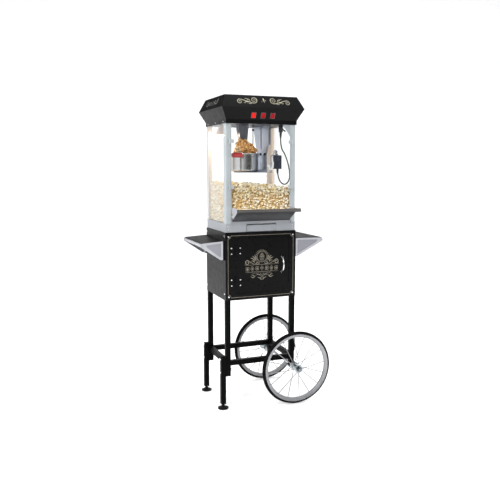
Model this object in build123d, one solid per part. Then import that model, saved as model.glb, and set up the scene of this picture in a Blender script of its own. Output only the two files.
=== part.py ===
from build123d import *
import math
import os

os.makedirs("parts", exist_ok=True)

# Popcorn cart: a sheet cabinet on a tube frame with two spoked wheels, two side shelves and a
# glazed popper with a hanging kettle. Frame: origin on the floor under the middle of the
# cabinet, +X (right) towards the wheels, +Y towards the back, +Z up. Millimetres.

# ---- driving dimensions ----
SIDES = (-1, 1)                          # left/right or front/back
RUN = 0.06                               # radial running clearance
CAB_X, CAB_Y = 190.0, 155.0              # cabinet half width and half depth
CAB_Z0, CAB_Z1 = 557.0, 898.0            # cabinet underside and top
SHEET = 1.2                              # cabinet sheet
TUBE, TUBE_WALL = 25.4, 1.6              # square frame tube
HALF = TUBE / 2
LEG_X = CAB_X - SHEET - HALF
LEG_Y = CAB_Y - SHEET - HALF
LEG_BOTTOM = {-1: 168.5, 1: 176.0}       # foot side, wheel side
RAIL_Z = 234.7                           # centre height of the lower rails
WHEEL_R, WHEEL_Y = 190.0, 208.0
AXLE_Z = WHEEL_R
AXLE_R = 7.9
HUB_H = 33.0                             # half length of a wheel hub
SHELF_GAP = {-1: 13.0, 1: 2.0}           # cabinet side to left and right shelf
BASE_X, BASE_Y = 186.0, 152.0            # popper half width and half depth
BASE_Z0, BASE_Z1 = CAB_Z1, 942.0         # popper base
POST_TOP = 1427.0
POST = 30.0                              # width of a post flange
THIN = 1.5                               # popper sheet
FLOOR_TOP = BASE_Z0 + THIN
CEILING_TOP = POST_TOP + THIN
POT_X, POT_R = -31.0, 70.0
PIVOT_Y, PIVOT_Z = 30.0, 1280.0          # kettle trunnion
TRAY_Y, TRAY_Z = -156.0, 955.0           # serving tray hinge
TRAY_L, TRAY_OPEN = 117.0, 59.0          # tray length and opening angle


# ---- helpers ----
def block(x0, x1, y0, y1, z0, z1):
    centre = Pos((x0 + x1) / 2, (y0 + y1) / 2, (z0 + z1) / 2)
    return centre * Box(abs(x1 - x0), abs(y1 - y0), abs(z1 - z0))


def rod(start, end, radius):
    start, end = Vector(*start), Vector(*end)
    run = end - start
    return Plane(origin=(start + end) * 0.5, z_dir=run) * Cylinder(radius, run.length)


def rod_x(x0, x1, y, z, radius):
    return rod((x0, y, z), (x1, y, z), radius)


def rod_y(x, y0, y1, z, radius):
    return rod((x, y0, z), (x, y1, z), radius)


def rod_z(x, y, z0, z1, radius):
    return rod((x, y, z0), (x, y, z1), radius)


def join(*shapes):
    result = shapes[0]
    for shape in shapes[1:]:
        result = result + shape
    return result


def cut(shape, tools):
    for tool in tools:
        shape = shape - tool
    return shape


def polygon(points):
    return make_face(Polyline(*points, close=True))


def prism_x(outline, x0, x1):
    """Outline in (y, z), drawn out along X."""
    x0, x1 = sorted((x0, x1))
    return extrude(polygon([(x0, y, z) for y, z in outline]), amount=x1 - x0, dir=(1, 0, 0))


def prism_y(outline, y0, y1):
    """Outline in (x, z), drawn out along Y."""
    y0, y1 = sorted((y0, y1))
    return extrude(polygon([(x, y0, z) for x, z in outline]), amount=y1 - y0, dir=(0, 1, 0))


def turned_y(outline):
    """Outline in (radius, y), turned about the Y axis."""
    return revolve(polygon([(r, y, 0) for r, y in outline]), Axis.Y)


def turned_z(outline):
    """Outline in (radius, z), turned about the Z axis."""
    return revolve(polygon([(r, 0, z) for r, z in outline]), Axis.Z)


def hexagon(place, direction, radius, height):
    return Plane(origin=place, z_dir=direction) * extrude(RegularPolygon(radius, 6), amount=height)


def round_top(shape, radius):
    """Round the highest circular edge."""
    return fillet(shape.edges().filter_by(GeomType.CIRCLE).sort_by(Axis.Z)[-1], radius)


def square_tube(low, high):
    """Square tube between two opposite corners, open along its longest side."""
    spans = [b - a for a, b in zip(low, high)]
    run = spans.index(max(spans))
    wall = [-1 if i == run else TUBE_WALL for i in range(3)]
    outer = block(low[0], high[0], low[1], high[1], low[2], high[2])
    outer = fillet(outer.edges().filter_by([Axis.X, Axis.Y, Axis.Z][run]), 2.4)
    inner_low = [a + w for a, w in zip(low, wall)]
    inner_high = [b - w for b, w in zip(high, wall)]
    return outer - block(inner_low[0], inner_high[0], inner_low[1], inner_high[1],
                         inner_low[2], inner_high[2])


def upright(x, y, z0, z1):
    return square_tube((x - HALF, y - HALF, z0), (x + HALF, y + HALF, z1))


def button_screw(place, outward, head_r=4.6, head_h=3.2, shank_r=3.0, length=6.0):
    """Rounded socket head standing on a surface at place, with its shank going in."""
    head = round_top(Pos(0, 0, head_h / 2) * Cylinder(head_r, head_h), head_h * 0.55)
    socket = Pos(0, 0, head_h - 0.7) * extrude(RegularPolygon(head_r * 0.45, 6), amount=2)
    shank = Pos(0, 0, -length / 2) * Cylinder(shank_r, length)
    return Plane(origin=place, z_dir=outward) * ((head - socket) + shank)


def solids_of(item):
    if isinstance(item, (list, tuple)):
        return [solid for part in item for solid in solids_of(part)]
    return list(item.solids())


def save(name, *items):
    solids = solids_of(items)
    shape = solids[0] if len(solids) == 1 else Compound(children=solids)
    export_step(shape, "parts/" + name + ".step")


# ---- screws through the cabinet sheets, legs, shelves and door hinges ----
HINGE_X, HINGE_Y = -136.0, -159.6        # cabinet door hinge axis
HINGE_ZS = (806.0, 646.5)
SCREW_OFFSET = 23.0                      # hinge screws either side of the hinge axis
LEAF = 1.6                               # hinge leaf thickness
SHELF_BOLT_LEN = {-1: 16.0, 1: 6.0}


def wall_bolts(sy):
    """Bolts in the front (-1) or back (1) sheet."""
    return [button_screw((sx * 173.5, sy * CAB_Y, z), (0, sy, 0))
            for sx in SIDES for z in (877.0, 576.0)]


def hinge_screws(x):
    return [button_screw((x, -CAB_Y - LEAF, z + dz), (0, -1, 0),
                         head_r=3.6, head_h=1.8, shank_r=1.9, length=4.0)
            for z in HINGE_ZS for dz in (-14.0, 14.0)]


front_bolts = wall_bolts(-1)
back_bolts = wall_bolts(1)
side_bolts = [button_screw((sx * CAB_X, sy * LEG_Y, z), (sx, 0, 0), head_r=4.2, head_h=3.0)
              for sx in SIDES for sy in SIDES for z in (880.0, 590.0)]
panel_bolts = front_bolts + side_bolts + back_bolts
shelf_bolts = [button_screw((sx * (CAB_X + SHELF_GAP[sx]), sy * 143.0, z), (sx, 0, 0),
                            head_r=4.2, head_h=3.0, length=SHELF_BOLT_LEN[sx])
               for sx in SIDES for sy in SIDES for z in (846.0, 776.0)]
fixed_screws = hinge_screws(HINGE_X - SCREW_OFFSET)
door_screws = hinge_screws(HINGE_X + SCREW_OFFSET)

# ---- bolts holding the extension legs to the left legs ----
EXT_X = -CAB_X + SHEET - HALF            # extension leg centre
EXT_OUTER = EXT_X - HALF
EXT_Z0, EXT_Z1 = 27.0, 268.0
EXT_BOLT_R = 3.9
LEG_INNER = -LEG_X + HALF                # inner face of the left legs
# height, shank end
PLAIN_BOLT = (258.0, -LEG_X + 8)
WING_BOLT = (190.0, LEG_INNER + 11)


def extension_bolt(y, z, end_x):
    shank = rod_x(EXT_OUTER, end_x, y, z, EXT_BOLT_R)
    return shank + hexagon((EXT_OUTER, y, z), (-1, 0, 0), 7.4, 5.0)


def wing_nut(y):
    z, end_x = WING_BOLT
    nut = hexagon((LEG_INNER, y, z), (1, 0, 0), 7.4, 6.5)
    wings = [Pos(LEG_INNER + 5.5, y, z + s * 10.5) * Rot(0, s * 24, 0) * Box(2.6, 9, 13)
             for s in SIDES]
    return join(nut, *wings) - rod_x(EXT_OUTER, end_x, y, z, EXT_BOLT_R)


extension_bolts = []
for sy in SIDES:
    y = sy * LEG_Y
    extension_bolts += [extension_bolt(y, *PLAIN_BOLT), extension_bolt(y, *WING_BOLT), wing_nut(y)]
extension_holes = [rod_x(EXT_OUTER - 1, -LEG_X + 30, sy * LEG_Y, z, EXT_BOLT_R)
                   for sy in SIDES for z in (PLAIN_BOLT[0], WING_BOLT[0])]
save("fasteners", panel_bolts + shelf_bolts, fixed_screws, extension_bolts)
save("hinge_screws_door", door_screws)

# ---- legs and lower rails ----
axle_hole = rod_y(LEG_X, -200, 200, AXLE_Z, AXLE_R)


def leg(sx, sy):
    tube = upright(sx * LEG_X, sy * LEG_Y, LEG_BOTTOM[sx], CAB_Z1 - SHEET)
    tube = cut(tube, extension_holes) if sx < 0 else tube - axle_hole
    return cut(tube, panel_bolts + shelf_bolts)


def rails():
    z0, z1 = RAIL_Z - HALF, RAIL_Z + HALF
    reach_x, reach_y = LEG_X - HALF, LEG_Y - HALF
    along_x = [square_tube((-reach_x, sy * LEG_Y - HALF, z0), (reach_x, sy * LEG_Y + HALF, z1))
               for sy in SIDES]
    along_y = [square_tube((sx * LEG_X - HALF, -reach_y, z0), (sx * LEG_X + HALF, reach_y, z1))
               for sx in SIDES]
    return along_x + along_y


save("legs_and_rails", [leg(sx, sy) for sx in SIDES for sy in SIDES], rails())

# ---- extension legs with bushings, and levelling feet ----
STUD_R = 5.0
BUSHING = 11.1                           # half width inside the tube
PAD_TOP = 12.5
# radius, z
PAD_PROFILE = [(0, 0), (27, 0), (27, 5.5), (24, 7.0), (15, 9.0), (12.5, PAD_TOP), (0, PAD_TOP)]


def bushing(y):
    """Square plug in the tube end, with a collar under it."""
    plug = block(EXT_X - BUSHING, EXT_X + BUSHING, y - BUSHING, y + BUSHING, EXT_Z0, 47.0)
    collar = block(EXT_X - HALF, EXT_X + HALF, y - HALF, y + HALF, 24.5, EXT_Z0)
    return (plug + collar) - rod_z(EXT_X, y, 10, 60, STUD_R + RUN)


save("extension_legs",
     [cut(upright(EXT_X, sy * LEG_Y, EXT_Z0, EXT_Z1), extension_holes) for sy in SIDES],
     [bushing(sy * LEG_Y) for sy in SIDES])

foot_pad = turned_z(PAD_PROFILE) - rod_z(0, 0, 6.0, 30, STUD_R)
foot_stud = rod_z(0, 0, 6.0, 62.0, STUD_R)
foot_stud = foot_stud + Pos(0, 0, PAD_TOP) * extrude(RegularPolygon(9.2, 6), amount=5.5)
for name, sy in (("front", -1), ("rear", 1)):
    place = Pos(EXT_X, sy * LEG_Y, 0)
    save("foot_" + name, place * foot_pad, place * foot_stud)

# ---- axle, spacers and cap nuts ----
HUB_IN, HUB_OUT = WHEEL_Y - HUB_H, WHEEL_Y + HUB_H
AXLE_END = HUB_OUT + 12.0
SIDE_GAP = 0.5                           # hub to spacer and to nut
axle = rod_y(LEG_X, -AXLE_END, AXLE_END, AXLE_Z, AXLE_R)


def spacer(sy):
    end = sy * (HUB_IN - SIDE_GAP)
    sleeve = rod_y(LEG_X, sy * (LEG_Y + HALF), end, AXLE_Z, 11.0)
    flange = rod_y(LEG_X, sy * (HUB_IN - 3.0), end, AXLE_Z, 14.0)
    return (sleeve + flange) - axle_hole


def axle_nut(sy):
    seat, hex_h = HUB_OUT + 2.5, 7.5
    washer = rod_y(LEG_X, sy * (HUB_OUT + SIDE_GAP), sy * seat, AXLE_Z, 15.0)
    nut = washer + hexagon((LEG_X, sy * seat, AXLE_Z), (0, sy, 0), 12.5, hex_h)
    cap = Cylinder(10.0, 6.0, align=(Align.CENTER, Align.CENTER, Align.MIN))
    plane = Plane(origin=(LEG_X, sy * seat, AXLE_Z), z_dir=(0, sy, 0))
    return nut + plane * (Pos(0, 0, hex_h) * round_top(cap, 3)) - axle


save("axle", axle, [spacer(sy) for sy in SIDES])
save("axle_nuts", [axle_nut(sy) for sy in SIDES])

# ---- wheels, drawn about Y at the origin ----
TYRE_R = 9.5                             # tyre section radius
TYRE_SEAT = 173.0
# Half profiles as (radius, y); the other half is the mirror image in y.
RIM_HALF = [(TYRE_SEAT, -8.4), (177.4, -9.4), (178.8, -10.6), (178.0, -11.8),
            (174.5, -11.6), (165.0, -8.4), (160.0, -4.5)]
HUB_HALF = [(AXLE_R + RUN, -HUB_H), (14, -HUB_H), (14, 3.0 - HUB_H), (22, 3.0 - HUB_H),
            (22, 6.0 - HUB_H), (16.5, 9.0 - HUB_H), (14.5, 13.0 - HUB_H)]


def mirrored(half):
    return half + [(r, -y) for r, y in reversed(half)]


def make_tyre():
    section = []
    for i in range(17):
        a = math.radians(-35 + 250 * i / 16)
        section.append((WHEEL_R - TYRE_R + TYRE_R * math.sin(a), -TYRE_R * math.cos(a)))
    return turned_y([(TYRE_SEAT, -7.0)] + section + [(TYRE_SEAT, 7.0)])


def spoke(k):
    """Spokes alternate between hub flanges and lean forwards or back in pairs."""
    a = math.radians(k * 22.5 + 6)
    flange = 1 if k % 2 else -1
    lean = math.radians(10 if (k // 2) % 2 else -10)
    hub_end = (18.8 * math.cos(a + lean), flange * (HUB_H - 4.5), 18.8 * math.sin(a + lean))
    rim_end = (166.0 * math.cos(a), flange * 2.2, 166.0 * math.sin(a))
    return rod(hub_end, rim_end, 1.9)


tyre = make_tyre()
spokes = [spoke(k) for k in range(16)]
rim = cut(turned_y(mirrored(RIM_HALF)) - tyre, spokes)
hub = cut(turned_y(mirrored(HUB_HALF)), spokes)
for name, sy in (("front", -1), ("rear", 1)):
    place = Pos(LEG_X, sy * WHEEL_Y, AXLE_Z)
    save("wheel_%s_tyre" % name, place * tyre)
    save("wheel_%s_rim" % name, place * rim)
    save("wheel_%s_hub" % name, place * hub)
    save("wheel_%s_spokes" % name, [place * s for s in spokes])

# ---- cabinet ----
DOOR_X0, DOOR_X1, DOOR_Z0, DOOR_Z1 = -134.6, 150.0, 592.0, 868.0
OPEN_X0, OPEN_X1 = DOOR_X0 - 0.9, DOOR_X1 + 1.6
OPEN_Z0, OPEN_Z1 = DOOR_Z0 - 1.4, DOOR_Z1 + 1.4
IN_X, IN_Y = CAB_X - SHEET, CAB_Y - SHEET
UNDER_TOP = CAB_Z1 - SHEET


def cabinet_side(sx):
    sheet = block(sx * CAB_X, sx * IN_X, -CAB_Y, CAB_Y, CAB_Z0, UNDER_TOP)
    return cut(sheet, side_bolts + shelf_bolts)


def cabinet_floor():
    """Floor sheet notched round the legs."""
    notches = [block(sx * LEG_X - HALF, sx * LEG_X + HALF, sy * LEG_Y - HALF, sy * LEG_Y + HALF,
                     CAB_Z0 - 1, CAB_Z0 + 9) for sx in SIDES for sy in SIDES]
    return cut(block(-IN_X, IN_X, -IN_Y, IN_Y, CAB_Z0, CAB_Z0 + SHEET), notches)


def cabinet_front():
    """Front sheet with returns round the door opening."""
    sheet = block(-IN_X, IN_X, -CAB_Y, -IN_Y, CAB_Z0, UNDER_TOP)
    returns = block(OPEN_X0 - SHEET, OPEN_X1 + SHEET, -CAB_Y, -CAB_Y + 18,
                    OPEN_Z0 - SHEET, OPEN_Z1 + SHEET)
    opening = block(OPEN_X0, OPEN_X1, -2 * CAB_Y, 0, OPEN_Z0, OPEN_Z1)
    return cut((sheet + returns) - opening, front_bolts + fixed_screws)


def cabinet_door():
    outer = block(DOOR_X0, DOOR_X1, -CAB_Y, -CAB_Y + 14.0, DOOR_Z0, DOOR_Z1)
    hollow = block(DOOR_X0 + SHEET, DOOR_X1 - SHEET, -IN_Y, 0, DOOR_Z0 + SHEET, DOOR_Z1 - SHEET)
    return cut(outer - hollow, door_screws)


back_sheet = block(-IN_X, IN_X, IN_Y, CAB_Y, CAB_Z0, UNDER_TOP)
save("cabinet_sides", [cabinet_side(sx) for sx in SIDES])
save("cabinet_floor_and_top", cabinet_floor(),
     block(-CAB_X, CAB_X, -CAB_Y, CAB_Y, UNDER_TOP, CAB_Z1))
save("cabinet_back", cut(back_sheet, back_bolts))
save("cabinet_front", cabinet_front())
save("cabinet_door", cabinet_door())

# ---- cabinet door hinges, handle and catch ----
PIN_R, KNUCKLE_R = 2.0, 4.2
HINGE_H = 22.0                           # half height of a hinge
KNUCKLE_H = 8.0                          # half height of the door knuckle
KNUCKLE_GAP = 8.2                        # half height of the gap between fixed knuckles


def hinge_pin(z):
    head = rod_z(HINGE_X, HINGE_Y, z + 22.0, z + 24.5, 3.0)
    return rod_z(HINGE_X, HINGE_Y, z - 23.5, z + 23.5, PIN_R) + head


def fixed_leaf(z):
    leaf = block(-164.5, HINGE_X - 0.6, -CAB_Y - LEAF, -CAB_Y, z - HINGE_H, z + HINGE_H)
    leaf = fillet(leaf.edges().filter_by(Axis.Y), 0.5)
    spans = ((z - HINGE_H, z - KNUCKLE_GAP), (z + KNUCKLE_GAP, z + HINGE_H))
    knuckles = [rod_z(HINGE_X, HINGE_Y, z0, z1, KNUCKLE_R) for z0, z1 in spans]
    webs = [block(HINGE_X - 4.0, HINGE_X - 0.6, HINGE_Y, -CAB_Y, z0, z1) for z0, z1 in spans]
    gap = block(HINGE_X - 4.6, HINGE_X + 9, HINGE_Y - 9, -CAB_Y + 1,
                z - KNUCKLE_GAP, z + KNUCKLE_GAP)
    bore = rod_z(HINGE_X, HINGE_Y, z - 30, z + 30, PIN_R)
    return cut(join(leaf, *knuckles, *webs), [gap, bore] + fixed_screws)


def door_leaf(z):
    leaf = block(HINGE_X + 4.9, -107.5, -CAB_Y - LEAF, -CAB_Y, z - HINGE_H, z + HINGE_H)
    knuckle = rod_z(HINGE_X, HINGE_Y, z - KNUCKLE_H, z + KNUCKLE_H, KNUCKLE_R)
    web = block(HINGE_X + 1.5, HINGE_X + 6.0, HINGE_Y - 0.5, -CAB_Y, z - KNUCKLE_H, z + KNUCKLE_H)
    bore = rod_z(HINGE_X, HINGE_Y, z - 30, z + 30, PIN_R + RUN)
    return cut(join(leaf, knuckle, web), [bore] + door_screws)


def door_handle():
    """Upright bow on two small round feet."""
    x, z0, z1 = 112.0, 689.0, 765.0
    bow = ThreePointArc((x, -CAB_Y - 3, z0), (x, -CAB_Y - 29, (z0 + z1) / 2), (x, -CAB_Y - 3, z1))
    bar = sweep(Plane(origin=bow @ 0, z_dir=bow % 0) * Circle(3.7), path=bow)
    feet = [rod_y(x, -CAB_Y - 2.4, -CAB_Y, z, 4.4) for z in (z0, z1)]
    behind = block(x - 20, x + 20, -CAB_Y, -CAB_Y + 20, z0 - 25, z1 + 25)
    return join(bar, *feet) - behind


save("hinge_leaves_door", [door_leaf(z) for z in HINGE_ZS])
save("hinge_leaves_fixed", [fixed_leaf(z) for z in HINGE_ZS], [hinge_pin(z) for z in HINGE_ZS])
save("door_handle", door_handle())
save("door_catch", block(126.0, OPEN_X1, -CAB_Y + 14.4, -CAB_Y + 17.9, 716.0, 746.0)
     + block(126.0, 147.0, -CAB_Y + 14.4, -CAB_Y + 25.0, 716.0, 746.0))

# ---- side shelves ----
SHELF_TOP, CHEEK_Z0 = 858.0, 764.0       # shelf top and cheek bottom at the inner edge
SHELF_T = 1.4
CHEEK_T = 3.6
TIP_R = 10.6                             # rounded nose of a cheek
BAR_R = 8.5


def shelf(s, tip_x, tip_z):
    """Top sheet, two cheeks and front tube; s is the side, tip_x a distance from centre."""
    in_x = CAB_X + SHELF_GAP[s]
    under = SHELF_TOP - SHELF_T
    bar_x, bar_z = tip_x - 10.5, tip_z - 12.5
    top = prism_y([(s * in_x, SHELF_TOP), (s * (tip_x - 5), tip_z),
                   (s * (tip_x - 5), tip_z - SHELF_T), (s * in_x, under)], -CAB_Y, CAB_Y)
    nose = [(bar_x + TIP_R * math.cos(math.radians(a)), bar_z + TIP_R * math.sin(math.radians(a)))
            for a in (66, 40, 14, -12, -38)]
    outline = ([(s * in_x, under), (s * (tip_x - 8), tip_z - SHELF_T)]
               + [(s * x, z) for x, z in nose]
               + [(s * (in_x + 11), CHEEK_Z0), (s * in_x, CHEEK_Z0)])
    recess = [(s * (in_x + 9), 847.0), (s * (tip_x - 30), tip_z - 11.0),
              (s * (tip_x - 34), tip_z - 22.0), (s * (in_x + 17), 779.0), (s * (in_x + 9), 779.0)]
    # hem along the sloping lower edge, offset square to it
    end_x, end_z = nose[-1]
    run_x, run_z = end_x - (in_x + 11), end_z - CHEEK_Z0
    slope = math.hypot(run_x, run_z)
    off_x, off_z = -run_z / slope * SHELF_T, run_x / slope * SHELF_T
    hem = [(s * (in_x + 11), CHEEK_Z0), (s * end_x, end_z), (s * (end_x + off_x), end_z + off_z),
           (s * (in_x + 11 + off_x), CHEEK_Z0 + off_z)]
    inner = [(s * in_x, CHEEK_Z0), (s * in_x, 856.0),
             (s * (in_x + SHELF_T), 856.0), (s * (in_x + SHELF_T), CHEEK_Z0)]

    bar_end = CAB_Y - CHEEK_T
    bar_solid = rod_y(s * bar_x, -bar_end, bar_end, bar_z, BAR_R)
    cheeks = []
    for sy in SIDES:
        cheek = prism_y(outline, sy * CAB_Y, sy * (CAB_Y - CHEEK_T))
        cheek = cheek - prism_y(recess, sy * (CAB_Y + 1), sy * (CAB_Y - 2.2))
        cheek = cheek + prism_y(hem, sy * CAB_Y, sy * (CAB_Y - 12))
        cheek = cheek + prism_y(inner, sy * CAB_Y, sy * (CAB_Y - 22))
        # slotted screw head in line with the tube
        head = rod_y(s * bar_x, sy * (CAB_Y - 0.1), sy * (CAB_Y + 2.0), bar_z, 4.6)
        slot_y = sy * (CAB_Y + 1.6)
        slot = block(s * bar_x - 0.8, s * bar_x + 0.8, slot_y - 0.6, slot_y + 0.6,
                     bar_z - 3.5, bar_z + 3.5)
        cheek = cheek - bar_solid + head - slot
        cheeks.append(cut(cheek, shelf_bolts))
    bar = bar_solid - rod_y(s * bar_x, -CAB_Y, CAB_Y, bar_z, BAR_R - 1.5)
    return top, cheeks, bar - top


def shelf_bracket(sx, sy):
    """Upright between cabinet and shelf; the deeper left one is hollow and open inwards."""
    x1, wall = CAB_X + SHELF_GAP[sx], 1.6
    bracket = block(sx * CAB_X, sx * x1, sy * CAB_Y, sy * 133.0, 762.0, 858.0)
    if sx < 0:
        bracket = bracket - block(sx * (CAB_X + wall), sx * (x1 - wall), sy * (CAB_Y - wall),
                                  sy * 132.0, 762.0 + wall, 858.0 - wall)
    return cut(bracket, shelf_bolts)


top_l, cheeks_l, bar_l = shelf(-1, 318.0, 851.0)
top_r, cheeks_r, bar_r = shelf(1, 346.0, 856.0)
save("shelf_tops", top_l, top_r, [shelf_bracket(sx, sy) for sx in SIDES for sy in SIDES])
save("shelf_cheeks", cheeks_l, cheeks_r, bar_l, bar_r)

# ---- popper base, deck and drawer ----
WALL_X, WALL_Y = BASE_X - THIN, BASE_Y - THIN    # inner faces of the base walls
GAP_X0, GAP_X1 = -78.0, 82.0                     # drawer opening
LEDGE_Z = 934.0
DECK_Z = LEDGE_Z + THIN
LEDGE = 13.0                                     # ledge reach from the outside
ROD_R = 2.4
tray_rod = rod_x(-165.0, 165.0, TRAY_Y, TRAY_Z, ROD_R)


def base_walls():
    front_spans = ((-WALL_X, GAP_X0, FLOOR_TOP), (GAP_X1, WALL_X, FLOOR_TOP),
                   (GAP_X0, GAP_X1, 938.0))
    return [block(-BASE_X, BASE_X, -BASE_Y, BASE_Y, BASE_Z0, FLOOR_TOP),
            [block(sx * BASE_X, sx * WALL_X, -BASE_Y, BASE_Y, FLOOR_TOP, BASE_Z1)
             for sx in SIDES],
            block(-WALL_X, WALL_X, WALL_Y, BASE_Y, FLOOR_TOP, BASE_Z1),
            [block(x0, x1, -BASE_Y, -WALL_Y, z0, BASE_Z1) for x0, x1, z0 in front_spans],
            block(-155.8, 155.8, -BASE_Y, -BASE_Y + 1.2, BASE_Z1, 950.5)]


def deck_ledges():
    reach = BASE_X - LEDGE
    sides = [block(sx * WALL_X, sx * reach, -WALL_Y, WALL_Y, LEDGE_Z, DECK_Z) for sx in SIDES]
    return sides + [block(-reach, reach, BASE_Y - LEDGE, WALL_Y, LEDGE_Z, DECK_Z)]


def tray_ear(sx):
    x0, x1 = sx * 160.5, sx * 163.5
    plate = block(x0, x1, TRAY_Y - 4.0, -BASE_Y, 936.0, TRAY_Z)
    return plate + rod_x(x0, x1, TRAY_Y, TRAY_Z, 4.0) - tray_rod


def popcorn_deck():
    x, y = WALL_X - 0.2, WALL_Y - 0.2
    slots = [block(-70 + i * 13.0, -63.5 + i * 13.0, -112 + j * 24.0, -96 + j * 24.0, 930, 940)
             for i in range(11) for j in range(9)]
    return block(-x, x, -y, y, DECK_Z, DECK_Z + THIN) - slots


def kernel_drawer():
    x0, x1, z0, wall = -75.5, 79.5, FLOOR_TOP + 1.0, 1.2
    tub = block(x0, x1, -BASE_Y, 62.0, z0, 928.0)
    tub = tub - block(x0 + wall, x1 - wall, -WALL_Y, 62.0 - wall, z0 + wall, 940.0)
    front = block(-76.0, 80.0, -BASE_Y - 2.0, -BASE_Y, 901.5, 932.0)
    return tub + fillet(front.edges().filter_by(Axis.Y), 6.0)


guides = [block(x0, x0 + 1.4, -WALL_Y, 80.0, FLOOR_TOP, 916.0) for x0 in (-79.6, 82.2)]
save("popcorn_deck", popcorn_deck())
save("popper_base", base_walls(), deck_ledges(), [tray_ear(sx) for sx in SIDES], guides)
save("kernel_drawer", kernel_drawer())

# ---- posts and glass ----
GLASS_X, GLASS_T = 183.0, 3.0
BACK_GLASS_X = GLASS_X - GLASS_T / 2 - 0.1
GLASS_TOP = POST_TOP - 0.5


def corner_post(sx, sy):
    """Angle section with its outer corner rounded."""
    post = block(sx * BASE_X, sx * (BASE_X - POST), sy * BASE_Y, sy * (BASE_Y - POST),
                 BASE_Z1, POST_TOP)
    corner = Vector(sx * BASE_X, sy * BASE_Y, (BASE_Z1 + POST_TOP) / 2)
    post = fillet(post.edges().filter_by(Axis.Z).sort_by_distance(corner)[0], 3.0)
    return post - block(sx * WALL_X, sx * (BASE_X - POST - 5), sy * WALL_Y,
                        sy * (BASE_Y - POST - 5), BASE_Z1 - 1, POST_TOP + 1)


# plate behind the front right post, at the top
corner_plate = prism_y([(116.0, POST_TOP), (181.4, POST_TOP), (181.4, 1367.0), (158.0, 1367.0)],
                       -WALL_Y, -WALL_Y + THIN)
side_glass = [block(sx * GLASS_X - GLASS_T / 2, sx * GLASS_X + GLASS_T / 2, -WALL_Y + 0.2,
                    WALL_Y - 0.2, BASE_Z1, GLASS_TOP) for sx in SIDES]
back_glass = block(-BACK_GLASS_X, BACK_GLASS_X, WALL_Y - 0.1 - GLASS_T, WALL_Y - 0.1,
                   BASE_Z1, GLASS_TOP)
save("chamber_glass", side_glass, back_glass)
save("corner_posts", [corner_post(sx, sy) for sx in SIDES for sy in SIDES], corner_plate)

# ---- canopy and rocker switches ----
# half width, half depth, height
SKIRT = (187.0, 162.0, 1446.0)
RIDGE = (216.0, 191.0, 1502.5)
CROWN = (190.0, 155.0, 1563.0)
ROCKER_XS = (-48.7, 1.0, 51.2)
ROCKER_Z = 1467.0
PIVOT_UP, ROCKER_PIN_R = 0.4, 1.5        # rocker pivot above the panel, and its radius
# y, z of a rocker's section
ROCKER_PROFILE = [(-7.5, -5.6), (7.5, -5.6), (12.15, -1.6), (12.15, 2.9), (6, 1.9), (0, 1.6),
                  (-6, 1.9), (-12.15, 2.9), (-12.15, -1.6)]


def canopy_solid(inset, bottom, top):
    def level(station, z):
        return Pos(0, 0, z) * Rectangle(2 * (station[0] - inset), 2 * (station[1] - inset))

    x, y = SKIRT[0] - inset, SKIRT[1] - inset
    skirt = block(-x, x, -y, y, bottom, SKIRT[2])
    flare = loft([level(SKIRT, SKIRT[2]), level(RIDGE, RIDGE[2])], ruled=True)
    roof = loft([level(RIDGE, RIDGE[2]), level(CROWN, top)], ruled=True)
    return skirt + flare + roof


def rocker_plane(x):
    """Plane on the front flare, facing out of it."""
    out_y, up_z = RIDGE[1] - SKIRT[1], RIDGE[2] - SKIRT[2]
    y = -SKIRT[1] - (ROCKER_Z - SKIRT[2]) / up_z * out_y
    return Plane(origin=(x, y, ROCKER_Z), x_dir=(1, 0, 0), z_dir=(0, -up_z, -out_y))


def rocker_bezel():
    body = Pos(0, 0, -7.0) * Box(23.0, 27.0, 14.0)
    flange = Pos(0, 0, 0.9) * Box(26.5, 30.5, 1.8)
    flange = fillet(flange.edges().filter_by(Axis.Z), 2.0)
    bezel = (body + flange) - Pos(0, 0, -5.4) * Box(20.6, 25.4, 15.2)
    return bezel - Pos(0, 0, PIVOT_UP) * Rot(0, 90, 0) * Cylinder(ROCKER_PIN_R + RUN, 22.4)


def rocker():
    body = prism_x(ROCKER_PROFILE, -10.0, 10.0) + Rot(0, 90, 0) * Cylinder(ROCKER_PIN_R, 21.9)
    return Pos(0, 0, PIVOT_UP) * (Rot(-8, 0, 0) * body)


canopy = canopy_solid(0, POST_TOP, CROWN[2])
canopy = canopy - canopy_solid(THIN, POST_TOP - 1, CROWN[2] - THIN)
bezels = []
for i, x in enumerate(ROCKER_XS):
    plane = rocker_plane(x)
    canopy = canopy - plane * (Pos(0, 0, -7) * Box(23.0, 27.0, 30.0))
    bezels.append(plane * rocker_bezel())
    save("rocker_%d" % (i + 1), plane * rocker())
save("canopy", canopy)
save("rocker_bezels", bezels)

# ---- ceiling panel ----
LAMP = (-115.0, 100.0)                   # x, y
PLUG = (122.0, -112.0)                   # x, y


def ceiling_panel():
    x, y = SKIRT[0] - THIN - 0.1, SKIRT[1] - THIN - 0.1
    holes = [rod_z(*centre, 1400, 1440, r) for centre, r in
             (((POT_X, 0), 9.0), (LAMP, 14.0), (PLUG, 11.0))]
    return cut(block(-x, x, -y, y, POST_TOP, CEILING_TOP), holes)


save("ceiling_panel", ceiling_panel())

# ---- drive: motor above the ceiling, shaft through it, housing below ----
SHAFT_R = 5.0


def gear_motor():
    gear_top = CEILING_TOP + 24
    gearbox = block(POT_X - 28, POT_X + 28, -24, 24, CEILING_TOP, gear_top)
    motor = gearbox + rod_z(POT_X + 6, 4, gear_top, gear_top + 42, 20)
    return motor - rod_z(POT_X, 0, 1400, CEILING_TOP + 18, SHAFT_R + RUN)


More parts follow.
